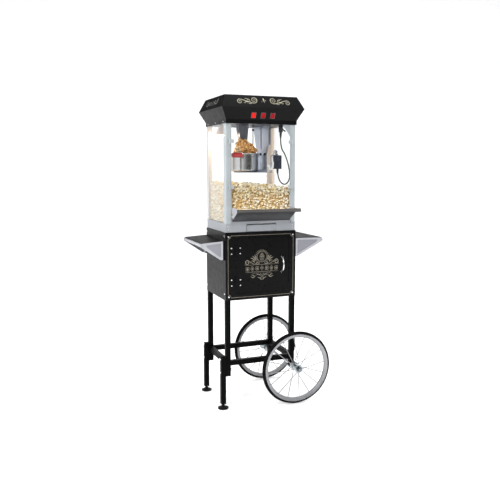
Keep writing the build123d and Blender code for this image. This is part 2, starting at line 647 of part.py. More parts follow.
def drive_shaft():
    """Shaft with a slotted collar at its lower end."""
    shaft = rod_z(POT_X, 0, 1299.0, CEILING_TOP + 17.5, SHAFT_R)
    shaft = shaft + rod_z(POT_X, 0, 1299.0, 1312.0, 7.5)
    return shaft - (Pos(POT_X, 0, 1301.0) * Box(16, 3, 5))


def taper(inset, z0, z1):
    low = Pos(-40.5, 0, z0) * Rectangle(2 * (18.5 - inset), 2 * (16 - inset))
    high = Pos(-43.0, 0, z1) * Rectangle(2 * (27 - inset), 2 * (22 - inset))
    return loft([low, high], ruled=True)


def drive_housing():
    """Tapered channel round the shaft, flanged at the ceiling."""
    channel = taper(0, 1340.0, POST_TOP) - taper(1.3, 1339.0, POST_TOP + 1)
    flange = block(-76.0, -10.0, -28.0, 28.0, POST_TOP - 1.5, POST_TOP)
    return channel + (flange - block(-67.0, -19.0, -19.0, 19.0, POST_TOP - 2, POST_TOP + 1))


# z0, z1, radius
STOP_STEPS = [(1305.0, POST_TOP, 2.2), (1402.0, 1412.0, 6.0), (POST_TOP - 3, POST_TOP, 8.0)]
save("gear_motor", gear_motor())
save("drive_shaft", drive_shaft())
save("drive_housing", drive_housing())
save("stop_rod", join(*[rod_z(16.0, 0, *step) for step in STOP_STEPS]))

# ---- kettle pot ----
POT_Z0, POT_Z1 = 1195.0, 1288.0
POT_WALL = 1.2
POT_CORNER = 9.0                         # outer radius at the bottom
BEAD_R = 2.6                             # rolled rim


def kettle_pot():
    mid = POT_R - POT_CORNER
    inside = POT_CORNER - POT_WALL

    def corner(radius, step):
        a = math.radians(18 * step)
        return (mid + radius * math.sin(a), POT_Z0 + POT_CORNER - radius * math.cos(a))

    outline = [(0, POT_Z0), (mid, POT_Z0)]
    outline += [corner(POT_CORNER, i) for i in range(1, 6)]
    outline += [(POT_R, POT_Z1 - 5.0)]
    for i in range(9):
        a = math.radians(-90 + 30 * i)
        outline.append((POT_R + 0.6 + BEAD_R * math.cos(a), POT_Z1 - BEAD_R + BEAD_R * math.sin(a)))
    outline += [(POT_R - POT_WALL, POT_Z1 - 5.0), (POT_R - POT_WALL, POT_Z0 + POT_CORNER)]
    outline += [corner(inside, i) for i in range(4, -1, -1)]
    # central boss
    outline += [(5.0, POT_Z0 + POT_WALL), (5.0, POT_Z0 + 12.0), (0, POT_Z0 + 12.0)]
    return Pos(POT_X, 0, 0) * turned_z(outline)


save("kettle_pot", kettle_pot())

# ---- kettle bracket and hanger ----
PLATE_Z0, PLATE_Z1 = 1190.0, 1191.5      # plate under the kettle
SIDE_X0, SIDE_X1 = 55.5, 57.0            # upright side of the bracket
HANG_X0, HANG_X1 = 60.5, 62.5            # hanger plate
TRUNNION_R = 5.0
BOX_X0 = 89.5                            # left face of the junction box
# y, z outlines
BRACKET_SIDE = [(-88.0, PLATE_Z1), (60.0, PLATE_Z1), (60.0, 1262.0), (48.0, 1290.0),
                (-88.0, 1290.0)]
HANGER_SIDE = [(-100.0, POST_TOP), (100.0, POST_TOP), (100.0, 1400.0), (62.0, 1305.0),
               (48.0, 1262.0), (14.0, 1262.0), (-88.0, 1292.0), (-100.0, 1330.0)]
HANGER_TOP = [(-92.0, POST_TOP), (92.0, POST_TOP), (92.0, POST_TOP - 2.0),
              (-92.0, POST_TOP - 2.0)]


def kettle_bracket():
    base = rod_z(POT_X, 0, PLATE_Z0, PLATE_Z1, 64.0)
    base = base + block(POT_X, SIDE_X1, -72.0, 60.0, PLATE_Z0, PLATE_Z1)
    arm = block(SIDE_X1, BOX_X0, -98.0, -60.0, PLATE_Z0, PLATE_Z1)
    side = prism_x(BRACKET_SIDE, SIDE_X0, SIDE_X1)
    side = side - rod_x(50.0, 80.0, PIVOT_Y, PIVOT_Z, TRUNNION_R)
    side = side + block(SIDE_X0, SIDE_X1, -88.0, -72.0, PLATE_Z0, PLATE_Z1)
    tab = block(BOX_X0 - 1.5, BOX_X0, -80.0, -62.0, PLATE_Z1, 1274.0)
    lugs = [block(POT_X + 50.0, SIDE_X0, y0, y0 + 1.5, PLATE_Z1, 1204.0) for y0 in (-71.9, 58.5)]
    # x0, x1, radius
    steps = ((54.0, 74.0, TRUNNION_R), (52.0, SIDE_X0, 9.0), (66.5, 74.0, 9.0))
    trunnion = join(*[rod_x(x0, x1, PIVOT_Y, PIVOT_Z, r) for x0, x1, r in steps])
    element = rod_z(POT_X, 0, PLATE_Z1, POT_Z0, 54.0) - rod_z(POT_X, 0, 1190.0, 1196.0, 34.0)
    return [base, arm, side, tab, lugs, trunnion, element]


def kettle_hanger():
    hanger = join(
        prism_x(HANGER_SIDE, HANG_X0, HANG_X1),
        prism_x(HANGER_TOP, HANG_X1, 90.0),
        block(57.5, HANG_X0, -2.0, 10.0, 1310.0, POST_TOP),
        block(HANG_X1, 72.0, -100.0, -98.5, 1330.0, POST_TOP - 2.0),
        block(HANG_X1, 72.0, 98.5, 100.0, 1400.0, POST_TOP - 2.0))
    return hanger - rod_x(50.0, 80.0, PIVOT_Y, PIVOT_Z, TRUNNION_R + RUN)


save("kettle_bracket", kettle_bracket())
save("kettle_hanger", kettle_hanger())

# ---- junction box and thermostat knob ----
KNOB = (108.0, -80.0)                    # x, y
KNOB_PIN_R = 3.0


def junction_box():
    box = fillet(block(BOX_X0, 134.0, -101.0, -60.0, 1208.0, 1275.0).edges().filter_by(Axis.Z), 3.0)
    lid = block(BOX_X0 + 2.0, 132.0, -99.0, -62.0, 1275.0, 1277.5)
    box = join(box, lid, rod_z(120.0, -80.0, 1200.0, 1208.0, 6.0))
    return box - rod_z(*KNOB, 1262.0, 1280.0, KNOB_PIN_R + RUN)


def thermostat_knob():
    skirt = round_top(rod_z(*KNOB, 1278.0, 1286.0, 16.0), 3.0)
    handle = round_top(rod_z(*KNOB, 1286.0, 1303.0, 11.0), 5.0)
    knob = join(skirt, handle, rod_z(*KNOB, 1263.0, 1280.0, KNOB_PIN_R))
    flutes = [Pos(*KNOB, 0) * Rot(0, 0, a) * block(10.2, 14, -1.1, 1.1, 1287.0, 1300.0)
              for a in range(0, 360, 30)]
    return cut(knob, flutes)


save("junction_box", junction_box())
save("thermostat_knob", thermostat_knob())

# ---- stirrer, kettle lever and grip ----
LEVER_X, LEVER_R = -147.0, 4.0
GRIP_Y, GRIP_Z = -115.0, 1276.0
GRIP_X0, GRIP_X1 = -140.0, -88.0


def stirrer():
    body = rod_z(POT_X, 0, 1207.5, 1296.0, 4.5) + rod_z(POT_X, 0, 1198.0, 1215.0, 9.0)
    blade = (block(6.0, 58.0, -3.5, 3.5, 1199.0, 1201.0)
             + block(14.0, 58.0, 2.5, 3.5, 1199.0, 1209.0))
    for a in (0, 180):
        body = body + Pos(POT_X, 0, 0) * Rot(0, 0, a) * blade
    return body - rod_z(POT_X, 0, 1190.0, 1207.4, 5.0 + RUN)


grip_core = rod_x(LEVER_X, GRIP_X1 - 2, GRIP_Y, GRIP_Z, LEVER_R)


def kettle_lever():
    """Bar out from the pot, forwards, then back in to the grip."""
    pot_x0 = POT_X - POT_R
    lever = join(rod_x(pot_x0, LEVER_X, 0, GRIP_Z, LEVER_R),
                 Pos(LEVER_X, 0, GRIP_Z) * Sphere(LEVER_R),
                 rod_y(LEVER_X, 0, GRIP_Y, GRIP_Z, LEVER_R),
                 Pos(LEVER_X, GRIP_Y, GRIP_Z) * Sphere(LEVER_R),
                 grip_core,
                 rod_x(pot_x0 - 4.0, pot_x0 + 0.5, 0, GRIP_Z, 6.0))
    return lever - rod_z(POT_X, 0, 1180, 1290, POT_R)


grip = rod_x(GRIP_X0, GRIP_X1, GRIP_Y, GRIP_Z, 12.0)
grip = fillet(grip.edges().filter_by(GeomType.CIRCLE), 4.0)
save("stirrer", stirrer())
save("kettle_lever", kettle_lever())
save("kettle_grip", grip - grip_core)

# ---- lamp and kettle plug ----
SOCKET_R = 13.8


def cone(r0, z0, r1, z1):
    return loft([Pos(*LAMP, z0) * Circle(r0), Pos(*LAMP, z1) * Circle(r1)], ruled=True)


def lamp_shade():
    shade = cone(42.0, 1384.0, 20.0, 1422.0) + rod_z(*LAMP, 1421.0, POST_TOP, 18.0)
    return shade - cone(41.4, 1383.0, 18.8, 1421.0) - rod_z(*LAMP, 1400, 1440, SOCKET_R)


def kettle_plug():
    # z0, z1, radius
    steps = ((1392.0, 1440.0, 10.9), (1424.0, POST_TOP, 17.0), (1380.0, 1393.0, 6.5))
    plug = join(*[rod_z(*PLUG, *step) for step in steps])
    return plug + Pos(137.0, -112.0, 1404.0) * Rot(0, 38, 0) * Box(26, 8, 5)


lamp_socket = rod_z(*LAMP, 1415.0, 1452.0, SOCKET_R) - rod_z(*LAMP, 1400.0, 1440.0, 11.0)
save("lamp_shade", lamp_shade(), lamp_socket)
save("lamp_bulb", Pos(*LAMP, 1397.0) * Sphere(19.0) + rod_z(*LAMP, 1397.0, 1439.0, 10.9))
save("kettle_plug", kettle_plug())

# ---- serving tray, drawn shut and then swung open ----
TRAY_X = 155.0
TRAY_END = TRAY_Z + TRAY_L
TRAY_IN = TRAY_Y + 0.75                  # inner face of the shut tray
# y, z
TRAY_CHEEK = [(TRAY_IN, TRAY_Z + 9.0), (TRAY_IN, TRAY_END), (TRAY_IN + 55.0, TRAY_Z + 35.0),
              (TRAY_IN + 50.0, TRAY_Z + 28.0)]
swing = Pos(0, TRAY_Y, TRAY_Z) * Rot(TRAY_OPEN, 0, 0) * Pos(0, -TRAY_Y, -TRAY_Z)


def serving_tray():
    face = block(-TRAY_X, TRAY_X, TRAY_Y - 0.75, TRAY_IN, TRAY_Z + 3.0, TRAY_END)
    lip = (block(-168.0, 168.0, TRAY_Y - 15.0, TRAY_IN, TRAY_END, TRAY_END + 1.5)
           + block(-168.0, 168.0, TRAY_Y - 15.0, TRAY_Y - 13.5, TRAY_END - 7.0, TRAY_END))
    sleeve = rod_x(-TRAY_X, TRAY_X, TRAY_Y, TRAY_Z, 4.0)
    return join(face, lip, sleeve) - rod_x(-160.0, 160.0, TRAY_Y, TRAY_Z, ROD_R + RUN)


save("serving_tray", swing * serving_tray())
save("tray_cheeks", [swing * prism_x(TRAY_CHEEK, sx * TRAY_X, sx * (TRAY_X - 1.4))
                     for sx in SIDES])

# ---- front doors of the popper ----
PIN_X, PIN_Y = 167.5, -158.2             # hinge axes
PANE_Y = PIN_Y + 1.2                     # front face of the door panels
POPPER_HINGE_ZS = (1121.0, 1342.0)
POPPER_PIN_R, POPPER_KNUCKLE_R = 1.6, 3.2


def popper_hinge(sx, z):
    """Block on the post with two arms holding the pin."""
    x = sx * PIN_X
    plate = block(sx * 183.0, sx * (PIN_X + 5.0), -BASE_Y - 2.0, -BASE_Y, z - 14, z + 14)
    spans = ((z - 14, z - 9), (z + 9, z + 14))
    arms = [block(x, sx * (PIN_X + 6), PIN_Y - 1.5, -BASE_Y, z0, z1) for z0, z1 in spans]
    knuckles = [rod_z(x, PIN_Y, z0, z1, POPPER_KNUCKLE_R) for z0, z1 in spans]
    return join(plate, *arms, *knuckles, rod_z(x, PIN_Y, z - 14, z + 14, POPPER_PIN_R))


def door_clip(sx, z):
    x = sx * PIN_X
    clip = rod_z(x, PIN_Y, z - 8.7, z + 8.7, POPPER_KNUCKLE_R)
    clip = clip + block(sx * (PIN_X - 1.5), sx * (PIN_X - 22.0), PIN_Y - 0.8, PANE_Y,
                        z - 8.7, z + 8.7)
    return clip - rod_z(x, PIN_Y, z - 20, z + 20, POPPER_PIN_R + RUN)


def door_knob(x, z=1280.0):
    return (rod_y(x, PANE_Y, PIN_Y - 12.0, z, 3.4)
            + rod_y(x, PIN_Y - 5.0, PIN_Y - 13.0, z, 6.2))


for name, sx in (("left", -1), ("right", 1)):
    save("popper_door_" + name, block(sx * 0.7, sx * (PIN_X - 5.0), PANE_Y, PANE_Y + 3.0,
                                      TRAY_END + 8.0, 1418.0))
    save("door_fittings_" + name, [door_clip(sx, z) for z in POPPER_HINGE_ZS],
         door_knob(sx * 11.0))
save("popper_hinges", [popper_hinge(sx, z) for sx in SIDES for z in POPPER_HINGE_ZS], tray_rod)
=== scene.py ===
# A popcorn cart: a cabinet on legs and two spoked wheels, carrying a glazed popper with a kettle
# and a canopy. Metres, Z up, standing on z = 0. The front faces -Y, and left, as seen from the
# front, is -X. The wheels are on the right.
import bpy
import math
import random
import numpy as np
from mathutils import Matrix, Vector


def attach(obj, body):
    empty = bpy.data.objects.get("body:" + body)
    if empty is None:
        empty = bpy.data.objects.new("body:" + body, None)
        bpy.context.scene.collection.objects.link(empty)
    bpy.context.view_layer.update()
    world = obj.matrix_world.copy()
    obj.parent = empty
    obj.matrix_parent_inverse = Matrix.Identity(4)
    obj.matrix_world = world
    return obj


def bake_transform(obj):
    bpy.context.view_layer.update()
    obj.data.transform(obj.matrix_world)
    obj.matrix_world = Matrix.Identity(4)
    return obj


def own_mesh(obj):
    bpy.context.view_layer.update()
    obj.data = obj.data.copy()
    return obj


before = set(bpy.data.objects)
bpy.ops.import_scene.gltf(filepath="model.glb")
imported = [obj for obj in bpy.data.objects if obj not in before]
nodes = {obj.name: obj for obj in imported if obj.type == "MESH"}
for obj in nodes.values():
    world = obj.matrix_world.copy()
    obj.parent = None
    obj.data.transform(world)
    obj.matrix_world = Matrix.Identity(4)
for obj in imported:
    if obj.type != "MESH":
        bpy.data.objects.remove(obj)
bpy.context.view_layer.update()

# ------------------------------------------------------------------ driving dimensions
WHEEL_X, WHEEL_Z = 0.1761, 0.19
RIM_EDGE_RADIUS = 0.1758           # the rim is black outside this
CABINET_HALF_DEPTH = 0.155
TRAY_HINGE_Y, TRAY_HINGE_Z = -0.156, 0.955
TRAY_ANGLE = math.radians(59)      # of the open tray, from the vertical
TRAY_LIP_RADIUS = 0.1168           # the lip starts this far from the hinge

# inner faces of the popper chamber
CHAMBER_LEFT, CHAMBER_RIGHT = -0.1815, 0.1815
CHAMBER_FRONT, CHAMBER_BACK = -0.1505, 0.1474
CHAMBER_FLOOR = 0.937

KETTLE_X, KETTLE_Y = -0.031, 0.0   # the shaft runs down the kettle's axis
CHANNEL_X = -0.0405                # drive housing, a channel above the kettle
CHANNEL_HALF_X, CHANNEL_HALF_Y, CHANNEL_BOTTOM = 0.0205, 0.0180, 1.338

# sloping band of the canopy: half depth and half width at its foot and top
CANOPY_FOOT_Z, CANOPY_TOP_Z = 1.5025, 1.563
CANOPY_FOOT_DEPTH, CANOPY_TOP_DEPTH = 0.191, 0.155
CANOPY_FOOT_WIDTH, CANOPY_TOP_WIDTH = 0.216, 0.190


# ------------------------------------------------------------------ shader helpers
def add_node(tree, kind, inputs=None, **settings):
    """Add a shader node; each input is a value or the output socket that drives it."""
    node = tree.nodes.new("ShaderNode" + kind)
    for key, value in settings.items():
        setattr(node, key, value)
    for key, value in (inputs or {}).items():
        if isinstance(value, bpy.types.NodeSocket):
            tree.links.new(value, node.inputs[key])
        else:
            node.inputs[key].default_value = value
    return node


def new_material(name):
    material = bpy.data.materials.new(name)
    material.use_nodes = True
    material.node_tree.nodes.clear()
    return material, material.node_tree


def output(tree, shader):
    add_node(tree, "OutputMaterial", {"Surface": shader})


def principled(tree, inputs):
    output(tree, add_node(tree, "BsdfPrincipled", inputs).outputs[0])


def object_coords(tree, scale=(1, 1, 1)):
    source = add_node(tree, "TexCoord").outputs["Object"]
    return add_node(tree, "Mapping", {"Scale": scale, "Vector": source}).outputs["Vector"]


def noise(tree, vector, scale, detail=4.0, rough=0.55, distortion=0.0):
    return add_node(tree, "TexNoise", {
        "Scale": scale, "Detail": detail, "Roughness": rough, "Distortion": distortion,
        "Vector": vector}).outputs["Fac"]


def ramp(tree, factor, stops):
    """Colour ramp through (position, colour) stops."""
    node = add_node(tree, "ValToRGB", {"Fac": factor})
    elements = node.color_ramp.elements
    for element, (position, colour) in ((elements[0], stops[0]), (elements[-1], stops[-1])):
        element.position = position
        element.color = (*colour, 1)
    for position, colour in stops[1:-1]:
        elements.new(position).color = (*colour, 1)
    return node.outputs["Color"]


def two_tone(tree, factor, colours, start=0.3, end=0.7):
    return ramp(tree, factor, [(start, colours[0]), (end, colours[1])])


def remap(tree, value, to, source=(0.3, 0.7)):
    return add_node(tree, "MapRange", {
        "From Min": source[0], "From Max": source[1], "To Min": to[0], "To Max": to[1],
        "Value": value}).outputs["Result"]


def calculate(tree, operation, *values):
    return add_node(tree, "Math", dict(enumerate(values)), operation=operation).outputs[0]


def mix_colours(tree, factor, first, second, blend="MIX"):
    return add_node(tree, "MixRGB", {"Fac": factor, "Color1": first, "Color2": second},
                    blend_type=blend).outputs["Color"]


def bumped(tree, height, strength, distance, bevel=0.0):
    """Bumped normal, over edges rounded to the bevel radius if there is one."""
    inputs = {"Strength": strength, "Distance": distance, "Height": height}
    if bevel > 0:
        inputs["Normal"] = add_node(tree, "Bevel", {"Radius": bevel}, samples=4).outputs["Normal"]
    return add_node(tree, "Bump", inputs).outputs["Normal"]


# ------------------------------------------------------------------ kinds of material
# colours and rough are (low, high) pairs that a noise wanders between
def paint(name, colours, rough, coat, spec=0.5, metallic=0.0):
    """Sprayed paint: cloudy colour, smeared gloss and a fine orange peel."""
    material, tree = new_material(name)
    vector = object_coords(tree)
    cloud = noise(tree, vector, scale=5.0, detail=3)
    peel = noise(tree, vector, scale=620.0, detail=2)
    smear = noise(tree, vector, scale=38.0, detail=5, rough=0.65)
    principled(tree, {
        "Base Color": two_tone(tree, cloud, colours),
        "Roughness": remap(tree, smear, to=rough),
        "Coat Weight": coat,
        "Coat Roughness": 0.12,
        "Metallic": metallic,
        "Specular IOR Level": spec,
        "Normal": bumped(tree, peel, strength=0.05, distance=0.0004, bevel=0.0008)})
    return material


# scalings of the brushing noise; a small scale draws it out along that axis
ALONG_Z = (1, 1, 0.02)
ACROSS_Z = (0.02, 0.02, 1)
EVEN = (1, 1, 1)


def brushed(name, colours, rough, stretch, scale, bump, metallic=1.0, glow=None):
    """Metal with drawn-out lines and grimy blotches; glow is (colour, strength)."""
    material, tree = new_material(name)
    lines = noise(tree, object_coords(tree, stretch), scale=scale, detail=6, rough=0.7)
    blotch = noise(tree, object_coords(tree), scale=9.0, detail=4)
    inputs = {
        "Base Color": mix_colours(
            tree, remap(tree, blotch, to=(0.0, 0.22), source=(0.45, 0.8)),
            two_tone(tree, lines, colours, start=0.25, end=0.75),
            (0.35, 0.33, 0.30, 1), blend="MULTIPLY"),
        "Roughness": remap(tree, lines, to=rough, source=(0.2, 0.8)),
        "Metallic": metallic,
        "Normal": bumped(tree, lines, strength=bump, distance=0.0003, bevel=0.0006)}
    if glow:
        inputs["Emission Color"] = (*glow[0], 1)
        inputs["Emission Strength"] = glow[1]
    principled(tree, inputs)
    return material


def plastic(name, colours, rough, coat, glow=None, grain=0.08, spec=0.5):
    """Moulded plastic or rubber with a fine grain; glow is (colour, strength)."""
    material, tree = new_material(name)
    vector = object_coords(tree)
    mottle = noise(tree, vector, scale=60.0, detail=4)
    fine = noise(tree, vector, scale=1400.0, detail=2)
    inputs = {
        "Base Color": two_tone(tree, mottle, colours),
        "Roughness": remap(tree, mottle, to=(rough * 0.8, rough * 1.3)),
        "Coat Weight": coat,
        "Specular IOR Level": spec,
        "Normal": bumped(tree, fine, strength=grain, distance=0.0003, bevel=0.0005)}
    if glow:
        colour, strength = glow
        brighter = tuple(min(1, channel * 1.15) for channel in colour)
        inputs["Emission Color"] = two_tone(tree, mottle, (colour, brighter), start=0.2, end=0.8)
        inputs["Emission Strength"] = strength
    principled(tree, inputs)
    return material


def glass(name, tint, haze=0.0016):
    """Thin clear pane: see-through, faintly reflective and slightly hazy."""
    material, tree = new_material(name)
    clear = add_node(tree, "BsdfTransparent", {"Color": (*tint, 1)}).outputs[0]
    smear = noise(tree, object_coords(tree), scale=7.0, detail=6, rough=0.7, distortion=0.6)
    glossy = add_node(tree, "BsdfGlossy", {
        "Roughness": remap(tree, smear, to=(0.015, 0.16), source=(0.45, 0.85)),
        "Color": (1, 1, 1, 1)}).outputs[0]
    milky = add_node(tree, "BsdfDiffuse", {"Color": (0.9, 0.92, 0.92, 1)}).outputs[0]
    fresnel = add_node(tree, "Fresnel", {"IOR": 1.45}).outputs[0]
    reflecting = calculate(tree, "MULTIPLY", fresnel, 0.42)
    pane = add_node(tree, "MixShader", {"Fac": reflecting, 1: clear, 2: glossy}).outputs[0]
    hazy = remap(tree, smear, to=(haze * 0.3, haze * 2.4), source=(0.35, 0.9))
    output(tree, add_node(tree, "MixShader", {"Fac": hazy, 1: pane, 2: milky}).outputs[0])
    return material


def bulb_glass():
    material, tree = new_material("bulb_glass")
    mottle = noise(tree, object_coords(tree), scale=40.0, detail=3)
    principled(tree, {
        "Base Color": two_tone(tree, mottle, ((1.0, 0.80, 0.52), (1.0, 0.88, 0.66))),
        "Emission Color": two_tone(tree, mottle, ((1.0, 0.70, 0.36), (1.0, 0.80, 0.48))),
        "Emission Strength": 6.0,
        "Roughness": 0.35})
    return material


def popcorn_material(name, light, mid, dark, hull):
    """Popped corn, from the flakes' own attributes: tone (light to dark), lobe and hull."""
    material, tree = new_material(name)

    def attribute(attribute_name):
        return add_node(tree, "Attribute", attribute_name=attribute_name).outputs["Fac"]

    vector = object_coords(tree)
    fleck = noise(tree, vector, scale=150.0, detail=3)
    patch = remap(tree, noise(tree, vector, scale=22.0, detail=2),
                  to=(-0.30, 0.55), source=(0.38, 0.66))
    tone = calculate(tree, "ADD", attribute("tone"), patch)
    tone = calculate(tree, "MULTIPLY_ADD", fleck, 0.7, tone)
    tone = calculate(tree, "MULTIPLY", tone, 0.6)
    colour = ramp(tree, tone, [(0.10, light), (0.55, mid), (0.95, dark)])
    # painted shade, darker in the clefts between lobes
    cleft_shade = remap(tree, attribute("lobe"), to=(0.85, 0.0), source=(0.0, 0.65))
    colour = mix_colours(tree, cleft_shade, colour, (0.64, 0.46, 0.24, 1), blend="MULTIPLY")
    grain = noise(tree, vector, scale=700.0, detail=3)
    principled(tree, {
        "Base Color": mix_colours(tree, attribute("hull"), colour, (*hull, 1)),
        "Roughness": 0.62,
        "Subsurface Weight": 0.25,
        "Subsurface Scale": 0.004,
        "Subsurface Radius": (1.0, 0.8, 0.5),
        "Normal": bumped(tree, grain, strength=0.35, distance=0.0008)})
    return material


# ------------------------------------------------------------------ materials
BLACK = paint("black_gloss", colours=((0.0024, 0.0024, 0.0024), (0.0046, 0.0046, 0.0048)),
              rough=(0.24, 0.36), coat=0.03, spec=0.085)
CANOPY = paint("canopy_black", colours=((0.0032, 0.0032, 0.0033), (0.0058, 0.0058, 0.0062)),
               rough=(0.28, 0.42), coat=0.02, spec=0.08)
# painted shade: a darker copy of the canopy paint, for its sloping ends
CANOPY_END_SHADE = paint("canopy_end_painted_shade", colours=((0.0018, 0.0018, 0.0019), (0.0034, 0.0034, 0.0036)),
                   rough=(0.50, 0.62), coat=0.0, spec=0.01)
TUBE = paint("tube_black", colours=((0.0020, 0.0020, 0.0021), (0.0040, 0.0040, 0.0043)),
             rough=(0.34, 0.48), coat=0.02, spec=0.02)
PANEL = paint("panel_black", colours=((0.0045, 0.0045, 0.0047), (0.0080, 0.0080, 0.0084)),
              rough=(0.32, 0.46), coat=0.03, spec=0.095)
SHELF = paint("shelf_black", colours=((0.0030, 0.0030, 0.0031), (0.0056, 0.0056, 0.0060)),
              rough=(0.46, 0.62), coat=0.0, spec=0.015)
CHEEK = paint("cheek_grey", colours=((0.33, 0.335, 0.36), (0.42, 0.425, 0.455)),
              rough=(0.32, 0.48), coat=0.2)
# painted shade: a darker copy of the cheek paint, for the pressed recess
CHEEK_RECESS_SHADE = paint("cheek_recess_painted_shade", colours=((0.185, 0.188, 0.212), (0.245, 0.248, 0.278)),
                     rough=(0.40, 0.55), coat=0.1)
TRAY = paint("tray_dark", colours=((0.020, 0.020, 0.022), (0.032, 0.032, 0.034)),
             rough=(0.28, 0.42), coat=0.2, spec=0.4)
# painted highlight: a lighter copy of the tray paint, for its lip
TRAY_LIP_HIGHLIGHT = paint("tray_lip_painted_highlight", colours=((0.050, 0.046, 0.044), (0.080, 0.074, 0.070)),
                 rough=(0.34, 0.50), coat=0.1, spec=0.4)
LAMP_SHADE = paint("lamp_shade", colours=((0.66, 0.44, 0.36), (0.74, 0.52, 0.43)),
                   rough=(0.3, 0.5), coat=0.1)
GOLD = paint("ornament_gold", colours=((0.36, 0.335, 0.235), (0.50, 0.475, 0.37)),
             rough=(0.36, 0.5), coat=0.1, metallic=0.3)
# painted shade: a darker copy of the gold, for the scrolls on the canopy's sloping ends
GOLD_SHADE = paint("ornament_gold_painted_shade", colours=((0.05, 0.047, 0.042), (0.08, 0.075, 0.066)),
                 rough=(0.36, 0.5), coat=0.1, metallic=0.3)
BEIGE = paint("emblem_beige", colours=((0.21, 0.19, 0.145), (0.33, 0.30, 0.24)),
              rough=(0.38, 0.55), coat=0.1, metallic=0.2)

POST = brushed("post_aluminium", colours=((0.50, 0.545, 0.565), (0.59, 0.635, 0.655)),
               rough=(0.30, 0.45), stretch=ALONG_Z, scale=260.0, bump=0.06, metallic=0.55)
# painted lamplight: warm tint and faint glow, no lamp of its own
POST_PAINTED_LAMPLIGHT = brushed("post_painted_lamplight", colours=((0.84, 0.775, 0.72), (0.92, 0.86, 0.80)),
                    rough=(0.40, 0.55), stretch=ALONG_Z, scale=260.0, bump=0.06, metallic=0.0,
                    glow=((1.0, 0.84, 0.74), 0.22))
BASE = brushed("base_aluminium", colours=((0.37, 0.39, 0.42), (0.45, 0.47, 0.50)),
               rough=(0.32, 0.46), stretch=ALONG_Z, scale=260.0, bump=0.06, metallic=0.55)
STEEL = brushed("stainless", colours=((0.70, 0.70, 0.69), (0.78, 0.78, 0.77)),
                rough=(0.12, 0.22), stretch=ACROSS_Z, scale=300.0, bump=0.012)
SHEET = brushed("stainless_sheet", colours=((0.38, 0.415, 0.50), (0.52, 0.56, 0.64)),
                rough=(0.26, 0.44), stretch=ALONG_Z, scale=300.0, bump=0.03)
# painted shade: a darker copy of the stainless sheet, for the channel's front
CHANNEL_FRONT_SHADE = brushed("channel_front_painted_shade", colours=((0.21, 0.22, 0.245), (0.31, 0.325, 0.36)),
                        rough=(0.26, 0.44), stretch=ALONG_Z, scale=300.0, bump=0.03)
ZINC = brushed("zinc", colours=((0.52, 0.53, 0.55), (0.66, 0.67, 0.69)),
               rough=(0.22, 0.40), stretch=EVEN, scale=55.0, bump=0.06)
RIM = brushed("rim_chrome", colours=((0.25, 0.255, 0.265), (0.35, 0.355, 0.37)),
              rough=(0.26, 0.40), stretch=EVEN, scale=45.0, bump=0.04, metallic=0.45)
# painted shade: a darker copy of the rim, for the side facing the axle
RIM_INSIDE_SHADE = brushed("rim_inside_painted_shade", colours=((0.13, 0.133, 0.14), (0.20, 0.203, 0.21)),
                     rough=(0.30, 0.44), stretch=EVEN, scale=45.0, bump=0.04, metallic=0.45)
SPOKE = brushed("spoke_steel", colours=((0.24, 0.24, 0.25), (0.34, 0.34, 0.35)),
                rough=(0.40, 0.55), stretch=EVEN, scale=60.0, bump=0.03, metallic=0.35)
HUB = brushed("hub_zinc", colours=((0.35, 0.41, 0.43), (0.50, 0.56, 0.58)),
              rough=(0.20, 0.36), stretch=EVEN, scale=70.0, bump=0.05)
NUT = brushed("nut_dark_zinc", colours=((0.14, 0.155, 0.17), (0.26, 0.275, 0.295)),
              rough=(0.20, 0.34), stretch=EVEN, scale=70.0, bump=0.05)
CHROME = brushed("chrome", colours=((0.80, 0.80, 0.81), (0.92, 0.92, 0.93)),
                 rough=(0.04, 0.11), stretch=EVEN, scale=30.0, bump=0.02)

TYRE = plastic("tyre_rubber", colours=((0.0040, 0.0040, 0.0041), (0.0085, 0.0082, 0.0082)),
               rough=0.60, coat=0.0, grain=0.4, spec=0.02)
FOOT = plastic("foot_rubber", colours=((0.0045, 0.0045, 0.0045), (0.0095, 0.0092, 0.0092)),
               rough=0.6, coat=0.0, grain=0.4, spec=0.10)
BLACK_PLASTIC = plastic("black_plastic", colours=((0.012, 0.012, 0.014), (0.022, 0.022, 0.025)),
                        rough=0.3, coat=0.3)
NAVY = plastic("box_navy", colours=((0.016, 0.019, 0.032), (0.026, 0.029, 0.045)),
               rough=0.36, coat=0.25)
RED_GRIP = plastic("grip_red", colours=((0.36, 0.020, 0.022), (0.45, 0.030, 0.030)),
                   rough=0.34, coat=0.4)
ROCKER = plastic("rocker_red", colours=((0.17, 0.003, 0.006), (0.30, 0.006, 0.010)),
                 rough=0.24, coat=0.04, glow=((0.5, 0.004, 0.008), 0.08), spec=0.10)
ROCKER_LIT = plastic("rocker_red_lit", colours=((0.38, 0.007, 0.006), (0.54, 0.013, 0.009)),
                     rough=0.24, coat=0.04, glow=((1.0, 0.026, 0.012), 0.14), spec=0.10)
WHITE_SLEEVE = plastic("white_sleeve", colours=((0.70, 0.70, 0.68), (0.82, 0.82, 0.80)),
                       rough=0.5, coat=0.0, grain=0.4)

GLASS = glass("pane_glass", tint=(0.994, 0.999, 0.997))
ACRYLIC = glass("pane_acrylic", tint=(0.994, 0.998, 0.998))
BULB = bulb_glass()
POPCORN = popcorn_material("popcorn", light=(0.97, 0.95, 0.87), mid=(0.94, 0.88, 0.68),
                           dark=(0.86, 0.70, 0.38), hull=(0.34, 0.15, 0.04))
POPCORN_GOLDEN = popcorn_material("popcorn_golden", light=(0.97, 0.82, 0.56),
                                  mid=(0.90, 0.56, 0.22), dark=(0.62, 0.29, 0.09),
                                  hull=(0.30, 0.12, 0.03))

